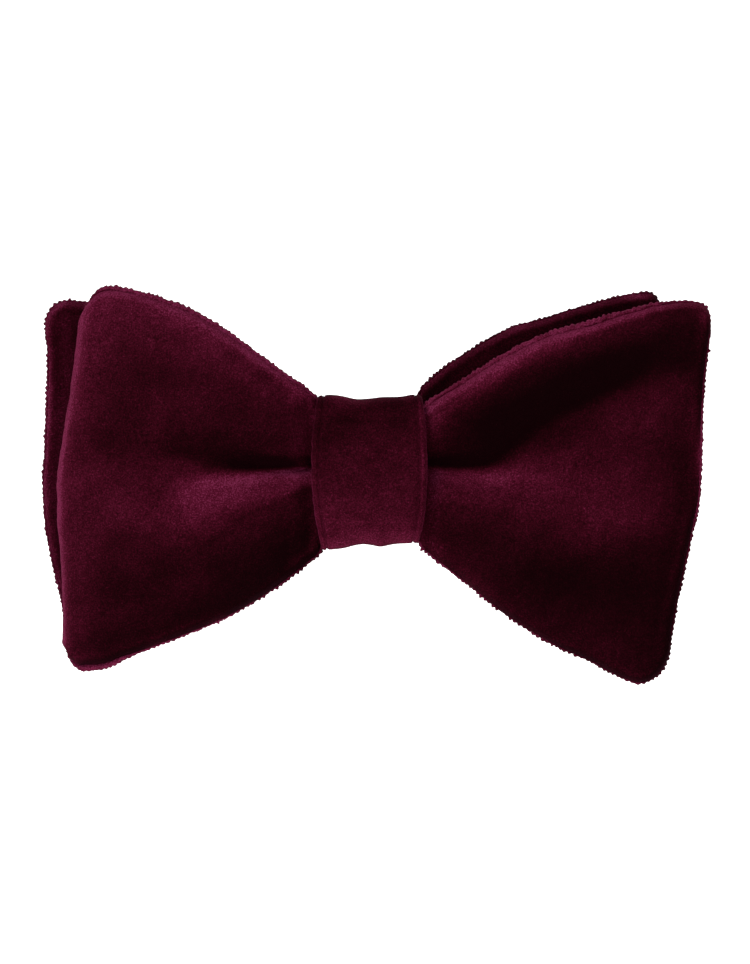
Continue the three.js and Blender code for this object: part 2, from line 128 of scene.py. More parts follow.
def part_of(x):
    """x held between 0 and 1."""
    return np.clip(x, 0, 1)


def unit(v):
    return v / np.maximum(np.linalg.norm(v, axis=-1, keepdims=True), 1e-12)


# ---- Mesh tools ----


def make_object(name, points, faces, material, uv=None):
    """A smooth mesh object from points in millimetres. uv is given per point."""
    mesh = bpy.data.meshes.new(name)
    points = np.asarray(points, float).reshape(-1, 3)
    mesh.from_pydata((points * MM).tolist(), [], [tuple(f) for f in faces])
    mesh.validate()
    mesh.polygons.foreach_set("use_smooth", [True] * len(mesh.polygons))
    if uv is not None:
        layer = mesh.uv_layers.new(name="UVMap")
        index = np.zeros(len(mesh.loops), np.int32)
        mesh.loops.foreach_get("vertex_index", index)
        layer.data.foreach_set("uv", np.asarray(uv, np.float32)[index].ravel())
    mesh.materials.append(material)
    mesh.update()
    made = bpy.data.objects.new(name, mesh)
    bpy.context.scene.collection.objects.link(made)
    return made


def grid_faces(rows, columns, close_rows=False, close_columns=False, start=0):
    """Quads of a grid whose point (column, row) is number start + column * rows + row."""
    a = np.arange(columns if close_columns else columns - 1)
    b = np.arange(rows if close_rows else rows - 1)
    i, j = np.meshgrid(a, b, indexing="ij")
    i, j = i.ravel(), j.ravel()
    i1, j1 = (i + 1) % columns, (j + 1) % rows
    quads = np.stack([i * rows + j, i1 * rows + j, i1 * rows + j1, i * rows + j1], 1)
    return quads + start


def oriented(points, quads, way):
    """The quads, turned to face along way, which is given for each point."""
    a, b, c, d = (points[quads[:, k]] for k in range(4))
    normal = np.cross(c - a, d - b)
    return quads if np.sum(normal * way[quads[:, 0]]) > 0 else quads[:, ::-1]


def edited(made, change):
    """The object, after change has been run on its mesh."""
    editor = bmesh.new()
    editor.from_mesh(made.data)
    change(editor)
    editor.to_mesh(made.data)
    editor.free()
    made.data.update()
    return made


def facing_out(made):
    return edited(made, lambda editor: bmesh.ops.recalc_face_normals(editor, faces=editor.faces))


def without_spare_points(made):
    def change(editor):
        bmesh.ops.delete(editor, geom=[v for v in editor.verts if not v.link_faces], context="VERTS")

    return edited(made, change)


def run_along(line):
    """The distance along a line of points, at each point."""
    return np.concatenate([[0], np.cumsum(np.linalg.norm(np.diff(line, axis=0), axis=1))])


def resampled(values, run, even):
    """Values that were given at the distances in run, at the distances in even."""
    return np.stack([np.interp(even, run, column) for column in values.T], 1)


# ---- Materials ----


class Nodes:
    """A short way to wire a node material that ends in one Principled shader."""

    def __init__(self, name):
        self.material = bpy.data.materials.new(name)
        self.material.use_nodes = True
        self.tree = self.material.node_tree
        self.shader = self.tree.nodes["Principled BSDF"]
        self.place = self.add("ShaderNodeTexCoord").outputs["Object"]

    def add(self, kind, values=None, **settings):
        made = self.tree.nodes.new(kind)
        for key, value in settings.items():
            setattr(made, key, value)
        for key, value in (values or {}).items():
            if isinstance(value, bpy.types.NodeSocket):
                self.tree.links.new(value, made.inputs[key])
            else:
                made.inputs[key].default_value = value
        return made

    def math(self, operation, a, b=0.0, clamp=False):
        made = self.add("ShaderNodeMath", {0: a, 1: b}, operation=operation)
        made.use_clamp = clamp
        return made.outputs[0]

    def total(self, *parts, clamp=False):
        """The sum of (value, share) parts."""
        amounts = [self.math("MULTIPLY", value, share) for value, share in parts]
        made = amounts[0]
        for amount in amounts[1:]:
            made = self.math("ADD", made, amount, clamp=clamp and amount is amounts[-1])
        return made

    def noise(self, scale, detail, roughness, vector=None):
        values = {"Vector": vector or self.place, "Scale": scale, "Detail": detail, "Roughness": roughness}
        return self.add("ShaderNodeTexNoise", values).outputs["Fac"]

    def wave(self, along, length):
        return self.math("SINE", self.math("MULTIPLY", along, math.tau / length))

    def split(self, vector=None):
        return self.add("ShaderNodeSeparateXYZ", {"Vector": vector or self.place}).outputs

    def ramp(self, factor, stops):
        made = self.add("ShaderNodeValToRGB", {"Fac": factor})
        ramp = made.color_ramp
        while len(ramp.elements) < len(stops):
            ramp.elements.new(0.5)
        for element, (place, colour) in zip(ramp.elements, stops):
            element.position = place
            element.color = (*colour, 1)
        return made.outputs["Color"]

    def bump(self, height, distance, strength, below=None):
        values = {"Height": height, "Distance": distance, "Strength": strength}
        if below:
            values["Normal"] = below
        return self.add("ShaderNodeBump", values).outputs["Normal"]

    def set(self, **values):
        for key, value in values.items():
            socket = self.shader.inputs[key.replace("_", " ")]
            if isinstance(value, bpy.types.NodeSocket):
                self.tree.links.new(value, socket)
            else:
                socket.default_value = value


VELVET_SHADES = (
    (0.0, (0.0029, 0.000184, 0.00046)),
    (0.25, (0.00803, 0.000398, 0.00138)),
    (0.5, (0.02295, 0.00122, 0.00421)),
    (0.75, (0.0589, 0.00375, 0.0141)),
    (1.0, (0.136, 0.0149, 0.0478)),
)


def velvet(name, depth=1.0):
    """Short dense pile: its colour follows painted light and shade, with a little random tone, kept on each
    point, and random tufts, brushed patches, worn spots and painted glints over it; depth darkens all of it.
    """
    n = Nodes(name)
    # The point attribute read here is painted light and shade: lighter on slopes that face the light, darker
    # in creases, from the strokes.
    tone_and_painted_light = n.add("ShaderNodeAttribute", attribute_name="tone_and_painted_light").outputs["Fac"]
    tufts = n.noise(3450, 2, 0.6)
    brushed = n.noise(85, 3, 0.55)
    worn = n.noise(420, 2, 0.5)
    glints = n.math("MAXIMUM", n.math("SUBTRACT", n.noise(6100, 1, 0.5), 0.62), 0.0)
    uneven = n.total((tufts, 1.05), (brushed, 0.32), (worn, 0.12), (glints, 1.8))
    evenly = (1.05 + 0.32 + 0.12) / 2
    tone = n.math("SUBTRACT", n.math("ADD", tone_and_painted_light, uneven), evenly, clamp=True)
    n.set(Base_Color=n.ramp(tone, [(at, tuple(c * depth for c in colour)) for at, colour in VELVET_SHADES]))
    fibres = n.bump(n.noise(5200, 2, 0.6), 0.06 * MM, 0.6)
    n.set(Normal=n.bump(tufts, 0.22 * MM, 0.75, fibres), Roughness=0.95, Specular_IOR_Level=0.01)
    n.set(Sheen_Weight=0.02, Sheen_Roughness=0.5, Sheen_Tint=(1.0, 0.08, 0.32, 1))
    return n.material


def ribbon_cloth(name, colour):
    """Ribbed ribbon: fine ribs across the strap, a flat selvedge, and a soft sheen."""
    n = Nodes(name)
    cloth = n.split(n.add("ShaderNodeTexCoord").outputs["UV"])
    ribs = n.wave(cloth["X"], 0.62)
    weft = n.wave(cloth["Y"], 0.24)
    slub = n.noise(900, 3, 0.6)
    broad = n.noise(70, 2, 0.5)
    height = n.total((ribs, 0.5), (weft, 0.16), (slub, 0.35))
    tone = n.total((ribs, 0.14), (slub, 0.5), (broad, 0.5), clamp=True)
    low = tuple(c * 0.55 for c in colour)
    high = tuple(c * 1.7 for c in colour)
    n.set(Base_Color=n.ramp(tone, [(0.2, low), (0.5, colour), (0.9, high)]))
    n.set(Normal=n.bump(height, 0.07 * MM, 0.6), Roughness=0.4, Specular_IOR_Level=0.1)
    n.set(Sheen_Weight=0.02, Sheen_Tint=(1.0, 0.2, 0.4, 1), Sheen_Roughness=0.4)
    return n.material


def woven(name, colour, pitch=0.45, roughness=0.9):
    """Plain weave, for the interlining and the label."""
    n = Nodes(name)
    at = n.split()
    warp = n.wave(n.math("ADD", at["X"], at["Y"]), pitch * MM)
    check = n.math("MULTIPLY", warp, n.wave(at["Z"], pitch * MM))
    slub = n.noise(700, 3, 0.6)
    tone = n.total((check, 0.2), (slub, 1.0), clamp=True)
    low = tuple(c * 0.7 for c in colour)
    n.set(Base_Color=n.ramp(tone, [(0.25, low), (0.7, colour)]), Roughness=roughness)
    n.set(Normal=n.bump(n.math("ADD", check, slub), 0.08 * MM, 0.6))
    return n.material


def sewing_thread(name, colour):
    """Twisted thread: slanting plies with a slight shine."""
    n = Nodes(name)
    at = n.split()
    plies = n.wave(n.total((at["X"], 1.0), (at["Z"], 1.3)), 0.3 * MM)
    fuzz = n.noise(5000, 2, 0.6)
    tone = n.total((plies, 0.25), (fuzz, 1.0), clamp=True)
    high = tuple(min(1, c * 1.9) for c in colour)
    n.set(Base_Color=n.ramp(tone, [(0.2, colour), (0.9, high)]), Roughness=0.55)
    n.set(Normal=n.bump(plies, 0.04 * MM, 0.6), Sheen_Weight=0.2)
    return n.material


def nickel_plate(name):
    """Polished nickel with fine handling marks and a slightly cloudy plating."""
    n = Nodes(name)
    cloud = n.noise(160, 3, 0.6)
    stretched = n.add("ShaderNodeMapping", {"Vector": n.place, "Scale": (1, 1, 14)}).outputs[0]
    marks = n.noise(900, 2, 0.7, stretched)
    n.set(Base_Color=n.ramp(cloud, [(0.3, (0.36, 0.35, 0.335)), (0.7, (0.52, 0.505, 0.48))]))
    n.set(Metallic=1.0, Roughness=n.math("ADD", n.total((cloud, 0.16), (marks, 0.14)), 0.06))
    n.set(Normal=n.bump(marks, 0.01 * MM, 0.25))
    return n.material


FRONT_VELVET = velvet("front_velvet")
# The rear bow's velvet is the same cloth darkened to 0.8, painted shade for the bow that lies behind the
# front one.
SHADED_REAR_VELVET = velvet("rear_velvet", 0.8)
KNOT_VELVET = velvet("knot_velvet")
STRAP_CLOTH = ribbon_cloth("strap_ribbon", (0.052, 0.0042, 0.0145))
CANVAS = woven("interlining_canvas", (0.62, 0.57, 0.47))
LABEL_CLOTH = woven("label_satin", (0.018, 0.015, 0.016), 0.2, 0.4)
THREAD = sewing_thread("burgundy_thread", (0.04, 0.004, 0.012))
NICKEL = nickel_plate("nickel")

# ---- Wings ----

# top and bottom are the outline's heights by distance from the knot's middle; edge is the distance of the
# outer end by height. corner holds the corners' radii and groove how far the seam lies in from the outline,
# each for top and bottom. bulge, crease, roll and droop say how far the blade stands back from its layer.
FRONT_LEFT = {
    "side": -1,
    "reach": 58,
    "top": through(
        (0, 11.2), (8.4, 11.6), (9.4, 13.6), (10.9, 15), (12.4, 16.2), (17.3, 19.7), (24, 24.8), (28.5, 27.8),
        (33, 30.3), (39.7, 32.7), (46.5, 34.4), (54, 34.8),
    ),
    "bottom": through(
        (0, -11.2), (8, -11.8), (9.1, -15.1), (10.9, -16.7), (12.8, -18.3), (17.3, -21.7), (26.3, -27.1),
        (35.2, -30.9), (44.2, -34.4), (49.5, -36.8), (57, -37.4),
    ),
    "edge": through(
        (-37, 57), (-31, 57.6), (-24, 57.6), (-16, 58), (-9, 58.5), (-2, 58.6), (2, 58.2),
        (10, 56.9), (20, 55.4), (28, 54.4), (34, 53.6),
    ),
    "corner": (5.8, 3.6),
    "groove": (
        through((10, 0.5), (20, 0.9), (50, 1)),
        through((10, 0.3), (41, 0.35), (48, 1.1), (54, 1.3), (58, 0.8)),
    ),
    "bulge": through(
        (0, 0), (10.7, -0.2), (14, -1.5), (20, -3.3), (28, -4.7), (38, -5.2), (46, -4.5),
        (52, -2.9), (55.5, -1.2), (58.3, 0),
    ),
    "roll": (1.9, 1.6, 8.0),
    "crease": {
        "at": through((0, 0.9), (10.7, 0.9), (15, 0.6), (19, 0.4), (27, 0.5), (33, 1.6), (40, 4.5), (50, 8)),
        "above": through((0, 3), (10.7, 2), (16, 2.2), (24, 4), (32, 8), (45, 10)),
        "above_by": through((0, 1.0), (10.7, 2.4), (16, 3.1), (24, 3.0), (32, 1.8), (42, 0.6), (50, 0)),
        "below": through((0, 3), (10.7, 3.6), (16, 5.5), (24, 8), (32, 12), (45, 14)),
        "below_by": through((0, 1), (10.7, 2.4), (16, 3.4), (24, 4.6), (31, 4.8), (38, 3), (46, 1), (55, 0)),
        "soft": through((0, 0.6), (10.7, 0.2), (18, 0.4), (24, 1.2), (35, 4), (50, 6)),
    },
    "droop": through((0, 0), (12, 0.1), (16, 0.28), (26, 0.26), (42, 0.14), (58, 0.1)),
    "droop_from": through((0, -4), (20, -4.5), (34, -7), (58, -12)),
}
FRONT_RIGHT = {
    "side": 1,
    "reach": 63,
    "top": through(
        (0, 11.2), (8.8, 11.6), (10, 12.4), (12.4, 14.1), (17.2, 17), (25, 21.9), (32.5, 25.6),
        (41, 28.1), (47.8, 30.1), (53, 31.4), (57.3, 31.9), (63.8, 31.9),
    ),
    "bottom": through(
        (0, -11.2), (8.4, -11.8), (9.6, -14), (11.5, -15.7), (13.7, -17.6), (18.2, -21.2), (22.7, -24.9),
        (27.2, -28.2), (31.7, -31), (36.2, -33.4), (40.7, -35.3), (46.7, -38.4), (51, -40), (57, -40.4),
    ),
    "edge": through(
        (-39, 56.3), (-34.7, 56.5), (-31.3, 56.8), (-24.6, 57.9), (-17.9, 59.3), (-11.1, 60.7),
        (-6, 61.8), (-1, 62.2), (9, 62.5), (17.5, 63), (22.5, 63.6), (27, 64), (32, 64),
    ),
    "corner": (3.2, 6.8),
    "groove": (through((10, 0.7), (20, 1.2), (45, 1.2), (56, 0.7), (62, 0.3)), through((10, 0.3), (60, 0.3))),
    "bulge": through(
        (0, 0), (10.7, -0.2), (14, -1.4), (22, -3.2), (34, -4.4), (46, -4.1), (56, -2.6), (63.8, -0.4),
    ),
    "roll": (2.0, 1.2, 4.8),
    "crease": {
        "at": through(
            (0, 0.9), (11.4, 0.8), (18.9, 0.6), (22, 0.9), (26.4, 3.4), (32.9, 8), (40.4, 12.4),
            (46.9, 14.8), (54, 17), (64, 19),
        ),
        "above": through((0, 5), (11, 7), (19, 12.5), (28, 14.5), (38, 12), (47, 11.5), (55, 11), (64, 10)),
        "above_by": through((0, 1), (11, 3), (18, 4.8), (28, 6.2), (40, 6.2), (50, 5), (60, 3.4), (64, 2.6)),
        "below": through((0, 3), (11, 4), (18, 6.5), (28, 9), (40, 14), (50, 16), (63, 18)),
        "below_by": through((0, 1.0), (11, 2.2), (18, 3.0), (28, 2.8), (40, 2.2), (50, 2), (60, 1.2)),
        "soft": through((0, 0.6), (10.7, 0.2), (18, 0.5), (24, 1.4), (34, 3.2), (63, 4)),
    },
    "droop": through((0, 0), (12, 0.1), (18, 0.26), (30, 0.26), (48, 0.2), (63, 0.14)),
    "droop_from": through((0, -4), (20, -5), (34, -8), (58, -8)),
}
PLAIN_BY = through((0, 0), (10.7, 0.3), (20, 1.2), (34, 0.9), (58, 0))
PLAIN_WIDTH = through((0, 3), (20, 5), (60, 9))
PLAIN_CREASE = {
    "at": through((0, 0), (60, 0)),
    "above_by": PLAIN_BY,
    "below_by": PLAIN_BY,
    "above": PLAIN_WIDTH,
    "below": PLAIN_WIDTH,
    "soft": through((0, 1), (60, 4)),
}
# The rear bow's blades hang free behind the front bow, with one soft crease and no droop.
REAR_BLADE = {
    "groove": (through((10, 0.3), (60, 0.3)), through((10, 0.3), (60, 0.3))),
    "crease": PLAIN_CREASE,
    "droop": through((0, 0), (60, 0)),
    "droop_from": through((0, -4), (60, -4)),
}
REAR_LEFT = {
    **REAR_BLADE,
    "side": -1,
    "reach": 61,
    "top": through(
        (0, 11), (9, 11.2), (10.2, 12), (12.4, 14.6), (30, 26.5), (45, 31.2), (52, 32), (58, 32.6),
        (61.5, 32.6),
    ),
    "bottom": through((0, -11), (9, -11.2), (10.2, -12), (12.4, -14.6), (30, -25.5), (45, -31), (58, -34.5)),
    "edge": through(
        (-36, 56.6), (-26.6, 57.9), (-21.5, 58.9), (-18.1, 59.8), (-14.7, 60.5), (-11.2, 61.1), (-7.9, 61.5),
        (-1, 61.8), (2.3, 61.5), (7.5, 61.3), (12.6, 61.1), (22.8, 60.9), (26.2, 61.3), (31, 61.4),
    ),
    "corner": (4.8, 4),
    "bulge": through((0, 0), (10.7, 0.1), (30, 1.4), (46, 1.9), (61, 0.6)),
    "roll": (1.0, 1.0, 6.0),
}
REAR_RIGHT = {
    **REAR_BLADE,
    "side": 1,
    "reach": 58,
    "top": through(
        (0, 11), (8, 11.6), (9.6, 15.6), (11.6, 17.6), (13.9, 19.6), (18.4, 22.7), (23, 25.5), (27.5, 27.6),
        (32, 28.7), (36.6, 30.2), (41.2, 31.5), (45, 32.6), (51.7, 33.9), (57, 34.2),
    ),
    "bottom": through((0, -11), (9, -11.2), (10.2, -12), (12.4, -14.6), (28, -27), (44, -34), (58.5, -36.5)),
    "edge": through((-36, 54), (-20, 56.6), (0, 58.5), (16, 58.2), (33, 56)),
    "corner": (4.2, 5),
    "bulge": through((0, 0), (10.7, -0.1), (14, -0.8), (25, -2.6), (40, -3.2), (52, -1.4), (58.5, 0)),
    "roll": (1.4, 1.2, 6.0),
}
EDGE_STEPS = np.array([0, 0.14, 0.32, 0.54, 0.78, 1.04, 1.3, 1.56, 1.86, 2.3, 2.9, 3.7])
TIP_STEPS = np.array([0, 0.14, 0.32, 0.54, 0.8, 1.1, 1.5, 2, 2.6, 3.3])
COLUMN_STEP = 0.42
FOLD_COLUMNS = 14
BEAD_STEP = 0.21
INNER_ROWS = 60
FOLD_START = math.radians(20)
# Painted light and shade: the base tone, how much lighter a slope that faces the light's direction is
# painted, and the tone's limits; then the seam tufts' level, set high to paint light into the groove's shade,
# and their smaller change with slope.
PAINTED_TONE_LEVEL, PAINTED_LIGHT_BY_SLOPE, PAINTED_TONE_RANGE = 0.28, 0.67, (-0.45, 0.85)
TUFT_PAINTED_LEVEL, TUFT_LIGHT_BY_SLOPE = 0.66, 0.16


def spaced(start, end, step):
    return np.linspace(start, end, max(2, int(round(abs(end - start) / step)) + 1))


def corner_cut(x, end, radius):
    """How much a rounded corner takes off the height, near the outer end."""
    into = part_of((x - (end - radius)) / radius)
    return radius * (1 - np.sqrt(1 - into**2))


def wing_depth(wing, x, z, top, bottom):
    """How far the middle of the blade stands behind its place in the knot."""
    crease = wing["crease"]
    off = z - crease["at"](x)
    width = np.where(off > 0, crease["above"](x), crease["below"](x))
    soft = crease["soft"](x) / width
    part = part_of(1 + soft - np.sqrt((off / width) ** 2 + soft**2)) ** 1.6
    above, below = crease["above_by"](x), crease["below_by"](x)
    fold = np.where(off > 0, above * part, above - below * (1 - part))
    roll_top, roll_bottom, roll_wide = wing["roll"]
    flare = part_of((x - 10) / 8)
    rolled = roll_top * part_of(1 - (top - z) / roll_wide) ** 2
    rolled = rolled + roll_bottom * part_of(1 - (z - bottom) / roll_wide) ** 2
    under = np.clip(wing["droop_from"](x) - z, 0, None)
    droop = wing["droop"](x) * (np.sqrt(under**2 + 9) - 3)
    return wing["bulge"](x) + fold + rolled * flare + droop


def blade_layer(wing, stations, y, short=0.0, turn=0.0, fold=0.0, relief=1.0):
    """Middle surface of one layer of cloth: columns of points at stations, counted out from the knot."""
    s = np.asarray(stations, float)[:, None]
    lean = np.clip(np.sin(np.broadcast_to(turn, (len(s),))) - math.sin(FOLD_START), 0, None)[:, None]
    lean_out = lean / (1 - math.sin(FOLD_START))
    out = part_of((s - FLARE_REACH) / (wing["reach"] - FLARE_REACH))
    heights = []
    for side, radius in (("top", wing["corner"][0]), ("bottom", wing["corner"][1])):
        sign = 1 if side == "top" else -1
        end = wing["edge"](wing[side](1e3) - sign * radius / 2)
        seen = np.where(s <= FLARE_REACH, s, mix(FLARE_REACH, end - short, out)) + short * lean_out
        heights.append(wing[side](seen) - sign * corner_cut(seen, end, radius))
    top, bottom = heights
    share = np.linspace(0, 1, INNER_ROWS + 2)[1:-1]
    low, high = bottom + EDGE_STEPS, top - EDGE_STEPS[::-1]
    z = np.concatenate([low, mix(low[:, -1:], high[:, :1], share), high], axis=1)
    x = np.where(s <= FLARE_REACH, s, mix(FLARE_REACH, wing["edge"](z) - short, out))
    depth = wing_depth(wing, x, z, top, bottom) * relief
    return np.stack([wing["side"] * (x + fold * lean), y + depth, z], axis=-1)


def strip_columns(flat, loop, y_front, y_back, fold):
    """A bow's whole strip: from the flat end's tip, through the knot, to the fold and back to the knot."""
    tip = flat["reach"] - TIP_STEPS
    inwards = np.concatenate([tip, spaced(tip[-1], 10, COLUMN_STEP)[1:], spaced(10, 0, 1.0)[1:]])
    outwards = np.concatenate([spaced(0, 10, 1.0)[1:], spaced(10, loop["reach"], COLUMN_STEP)[1:]])
    home = np.concatenate([spaced(loop["reach"], 10, 0.7), spaced(10, 0, 1.0)[1:]])
    short = fold * (1 - math.sin(FOLD_START)) + BLADE_HALF
    near = blade_layer(loop, outwards, y_front, short)
    far = blade_layer(loop, home, y_back, short, relief=-0.12)
    turns = np.linspace(FOLD_START, math.pi, FOLD_COLUMNS + 2)[1:-1]
    arc = blade_layer(loop, np.full(FOLD_COLUMNS, loop["reach"]), 0, short, turns, fold)
    across = ((math.cos(FOLD_START) - np.cos(turns)) / (math.cos(FOLD_START) + 1))[:, None]
    arc[..., 1] = mix(near[-1][None, :, 1], far[0][None, :, 1], across)
    columns = np.concatenate([blade_layer(flat, inwards, y_front), near, arc, far])
    # The cloth starts to turn a little before the fold.
    turning = part_of((outwards - loop["reach"] + 9) / 9)
    turning = FOLD_START * turning * turning * (3 - 2 * turning)
    ways = np.concatenate([np.zeros(len(inwards)), turning, turns, np.full(len(far), math.pi)])
    return columns, np.stack([loop["side"] * np.sin(ways), -np.cos(ways), ways * 0], 1)


def rim_line(columns, facing):
    """The strip's sewn outline, evenly spaced, with the outward and facing directions along it."""
    line = np.concatenate([columns[::-1, -1], columns[0, 1:-1][::-1], columns[:, 0]])
    faces = np.concatenate([facing[::-1], np.repeat(facing[:1], columns.shape[1] - 2, 0), facing])
    middle = columns.shape[1] // 2
    at_tip = np.repeat(columns[20:21, middle], columns.shape[1] - 2, 0)
    centre = np.concatenate([columns[::-1, middle], at_tip, columns[:, middle]])
    run = run_along(line)
    even = np.arange(0, run[-1], BEAD_STEP)
    points, faces, centre = (resampled(values, run, even) for values in (line, faces, centre))
    faces = unit(faces)
    ahead = np.roll(points, -3, 0) - np.roll(points, 3, 0)
    ahead[:3], ahead[-3:] = points[3] - points[0], points[-1] - points[-4]
    outward = unit(np.cross(ahead, faces))
    flip = np.sign(np.sum(outward * (points - centre), axis=1))
    # The direction is the same way round all along, so the majority decides it.
    outward = outward * (1 if np.median(flip) > 0 else -1)
    return points, outward, faces, even


def bead(points, outward, faces, run, inset, seed):
    """The rolled edge of the back panel, with tufts of pile that stand out unevenly along the seam."""
    count, ring = len(points), 14
    angle = np.linspace(0, math.tau, ring, endpoint=False)
    centre = points - outward * (inset * 0.5)[:, None]
    wide = (inset * 0.5 + 0.12)[:, None]
    deep = (0.8 + 0.3 * part_of(inset))[:, None]
    ring_points = (
        centre[:, None]
        + outward[:, None] * (wide * np.cos(angle))[..., None]
        + faces[:, None] * (deep * np.sin(angle))[..., None]
    )
    way = unit(ring_points - centre[:, None])
    tuft = noise(ring_points, 0.62, seed) * 0.2 + noise(ring_points, 0.34, seed + 1) * 0.1
    line = np.stack([run, run * 0, run * 0], axis=1)
    rows = np.abs(np.sin(math.pi * (run / 1.0 + 0.45 * noise(line, 4, seed + 2))))
    rows = rows * (0.75 + 0.5 * noise(line, 1.5, seed + 3))
    shown = (0.36 * rows - 0.16) * (1 + 2 * np.clip(0.5 - inset, 0, 0.25))
    tuft = tuft + shown[:, None] * part_of(np.cos(angle))
    made = (ring_points + way * tuft[..., None]).reshape(-1, 3)
    return made, oriented(made, grid_faces(ring, count, close_rows=True), way.reshape(-1, 3))


def make_strip(name, flat, loop, fold, layers_y, material, seed, light_and_shade_strokes):
    """The three layers of one bow's strip: face panel, back panel and the interlining between them."""
    columns, facing = strip_columns(flat, loop, *layers_y, fold)
    count, rows = columns.shape[:2]
    points, outward, faces, run = rim_line(columns, facing)
    tree = kdtree.KDTree(len(points))
    for i, point in enumerate(points):
        tree.insert(point, i)
    tree.balance()
    middle = columns.reshape(-1, 3)
    nearest, off = np.array([tree.find(point)[1:] for point in middle]).T
    nearest = nearest.astype(int)
    off[off < 0.12] = 0

    # How far the seam lies in from the outline, on the side that shows.
    out_from = np.abs(points[:, 0])
    depths = [np.where(outward[:, 2] > -0.2, *[g(out_from) for g in wing["groove"]]) for wing in (loop, flat)]
    inset = np.where(points[:, 0] * loop["side"] > 0, *depths)
    inset = mix(0.5, inset, part_of((np.abs(outward[:, 2]) - 0.25) / 0.4))
    inset = inset * (1 + 0.12 * noise(points, 3, seed + 4))
    groove = inset[nearest]

    into = np.clip(off, 0, BLADE_HALF)
    round_edge = np.sqrt(BLADE_HALF**2 - (BLADE_HALF - into) ** 2)
    at_end = part_of((np.abs(outward[:, 0]) - 0.75) / 0.2)[nearest]
    rise = part_of((off - groove + 0.3) / mix(1.4, 0.85, at_end))
    puff = 0.2 * np.exp(-(((off - groove - 1.1) / 0.8) ** 2))
    soft = 0.05 * noise(middle, 0.9, seed + 11) + 0.14 * noise(middle, 4.5, seed + 12)
    turned = part_of((np.abs(np.repeat(facing[:, 0], rows)) - 0.3) / 0.4)
    soft = soft + 0.13 * turned * noise(middle * [0, 0, 1], 0.8, seed + 13)
    face_high = BLADE_HALF * np.sqrt(1 - (1 - rise) ** 2) + puff * rise + soft * rise
    back_high = round_edge + (0.5 * puff + soft) * part_of(off / 0.6)
    way = np.repeat(facing, rows, axis=0)
    quads = oriented(middle, grid_faces(rows, count), way)

    on_face = (off > groove - 0.1)[quads].any(axis=1)
    face = make_object(f"{name}_face", middle + way * face_high[:, None], quads[on_face], material)
    rim_quads = quads[~on_face]
    under = part_of(off / 0.3) * 0.25
    back_points = np.concatenate([middle - way * back_high[:, None], middle + way * under[:, None]])
    bead_points, bead_quads = bead(points, outward, faces, run, inset, seed)
    start = len(back_points)
    back = make_object(
        f"{name}_back",
        np.concatenate([back_points, bead_points]),
        np.concatenate([quads[:, ::-1], rim_quads + len(middle), bead_quads + start]),
        material,
    )
    # Both panels get painted light and shade from their slopes and the strokes.
    for piece in (face, back):
        without_spare_points(piece)
        paint_light_and_shade(piece, seed, light_and_shade_strokes, rim=len(bead_points) if piece is back else 0)

    inner = columns[14:-3:3, 9:-9:3]
    canvas = shell(f"{name}_interlining", inner, facing[14:-3:3], 0.22, CANVAS)
    return face, back, canvas


def shell(name, columns, facing, half, material):
    """A flat closed piece of cloth on both sides of a grid of points."""
    count, rows = columns.shape[:2]
    way = np.broadcast_to(np.asarray(facing, float)[:, None], columns.shape) * half
    points = np.concatenate([(columns + way).reshape(-1, 3), (columns - way).reshape(-1, 3)])
    quads = grid_faces(rows, count)
    total = count * rows
    index = np.arange(total).reshape(count, rows)
    ring = np.concatenate([index[:, 0], index[-1, 1:], index[-2::-1, -1], index[0, -2:0:-1]])
    after = np.roll(ring, -1)
    walls = np.stack([ring, after, after + total, ring + total], 1)
    made = make_object(name, points, np.concatenate([quads, quads[:, ::-1] + total, walls]), material)
    return facing_out(made)


def paint_light_and_shade(made, seed, light_and_shade_strokes, lean=(-0.62, -0.25, 0.74), rim=0):
    """Painted light and shade, kept as an attribute on each point: slopes that face lean, the direction the
    light is painted from, are lighter, and so are sides that face along x, with a little random tone.
    Each stroke is a painted highlight, or painted shade where it is negative: (x, z, half width, half height,
    how much lighter) and its turn in degrees, if any. The last points, as many as rim says, are the tufts of
    a seam, which point every way; they are painted lighter, to lift the groove's shade, and change less with
    slope, so they are more even."""
    normals, places = (np.zeros((len(made.data.vertices), 3), np.float32) for _ in range(2))
    made.data.vertices.foreach_get("normal", normals.ravel())
    made.data.vertices.foreach_get("co", places.ravel())
    places = places / MM
    # Painted light: slopes that face along lean, and faces turned to the front or back, are lighter.
    along = normals * [1, 0, 1] @ np.array(lean) - np.abs(normals[:, 1]) * lean[1]
    tone_and_painted_light = PAINTED_TONE_LEVEL + PAINTED_LIGHT_BY_SLOPE * along
    tone_and_painted_light = tone_and_painted_light + noise(places, 14, seed + 21) * 0.05 + noise(places, 6, seed + 22) * 0.03
    # Painted light on sides that face along x, which the lamps leave in shade.
    tone_and_painted_light = tone_and_painted_light + 0.3 * part_of((np.abs(normals[:, 0]) - 0.78) / 0.2)
    # The seam's tufts get a higher painted level against the groove's shade, and less light by slope.
    if rim:
        tone_and_painted_light[-rim:] = TUFT_PAINTED_LEVEL + TUFT_LIGHT_BY_SLOPE * along[-rim:] + noise(places[-rim:], 1.2, seed + 23) * 0.08
    # Painted highlights and painted shade, a soft oval each.
    for x, z, wide, high, lighter, *turn in light_and_shade_strokes:
        c, t = math.cos(math.radians(sum(turn))), math.sin(math.radians(sum(turn)))
        dx, dz = places[:, 0] - x, places[:, 2] - z
        u, v = (dx * c + dz * t) / wide, (dz * c - dx * t) / high
        tone_and_painted_light = tone_and_painted_light + lighter * np.exp(-(u**2 + v**2))
    attribute = made.data.attributes.new("tone_and_painted_light", "FLOAT", "POINT")
    attribute.data.foreach_set("value", np.clip(tone_and_painted_light, *PAINTED_TONE_RANGE).astype(np.float32))
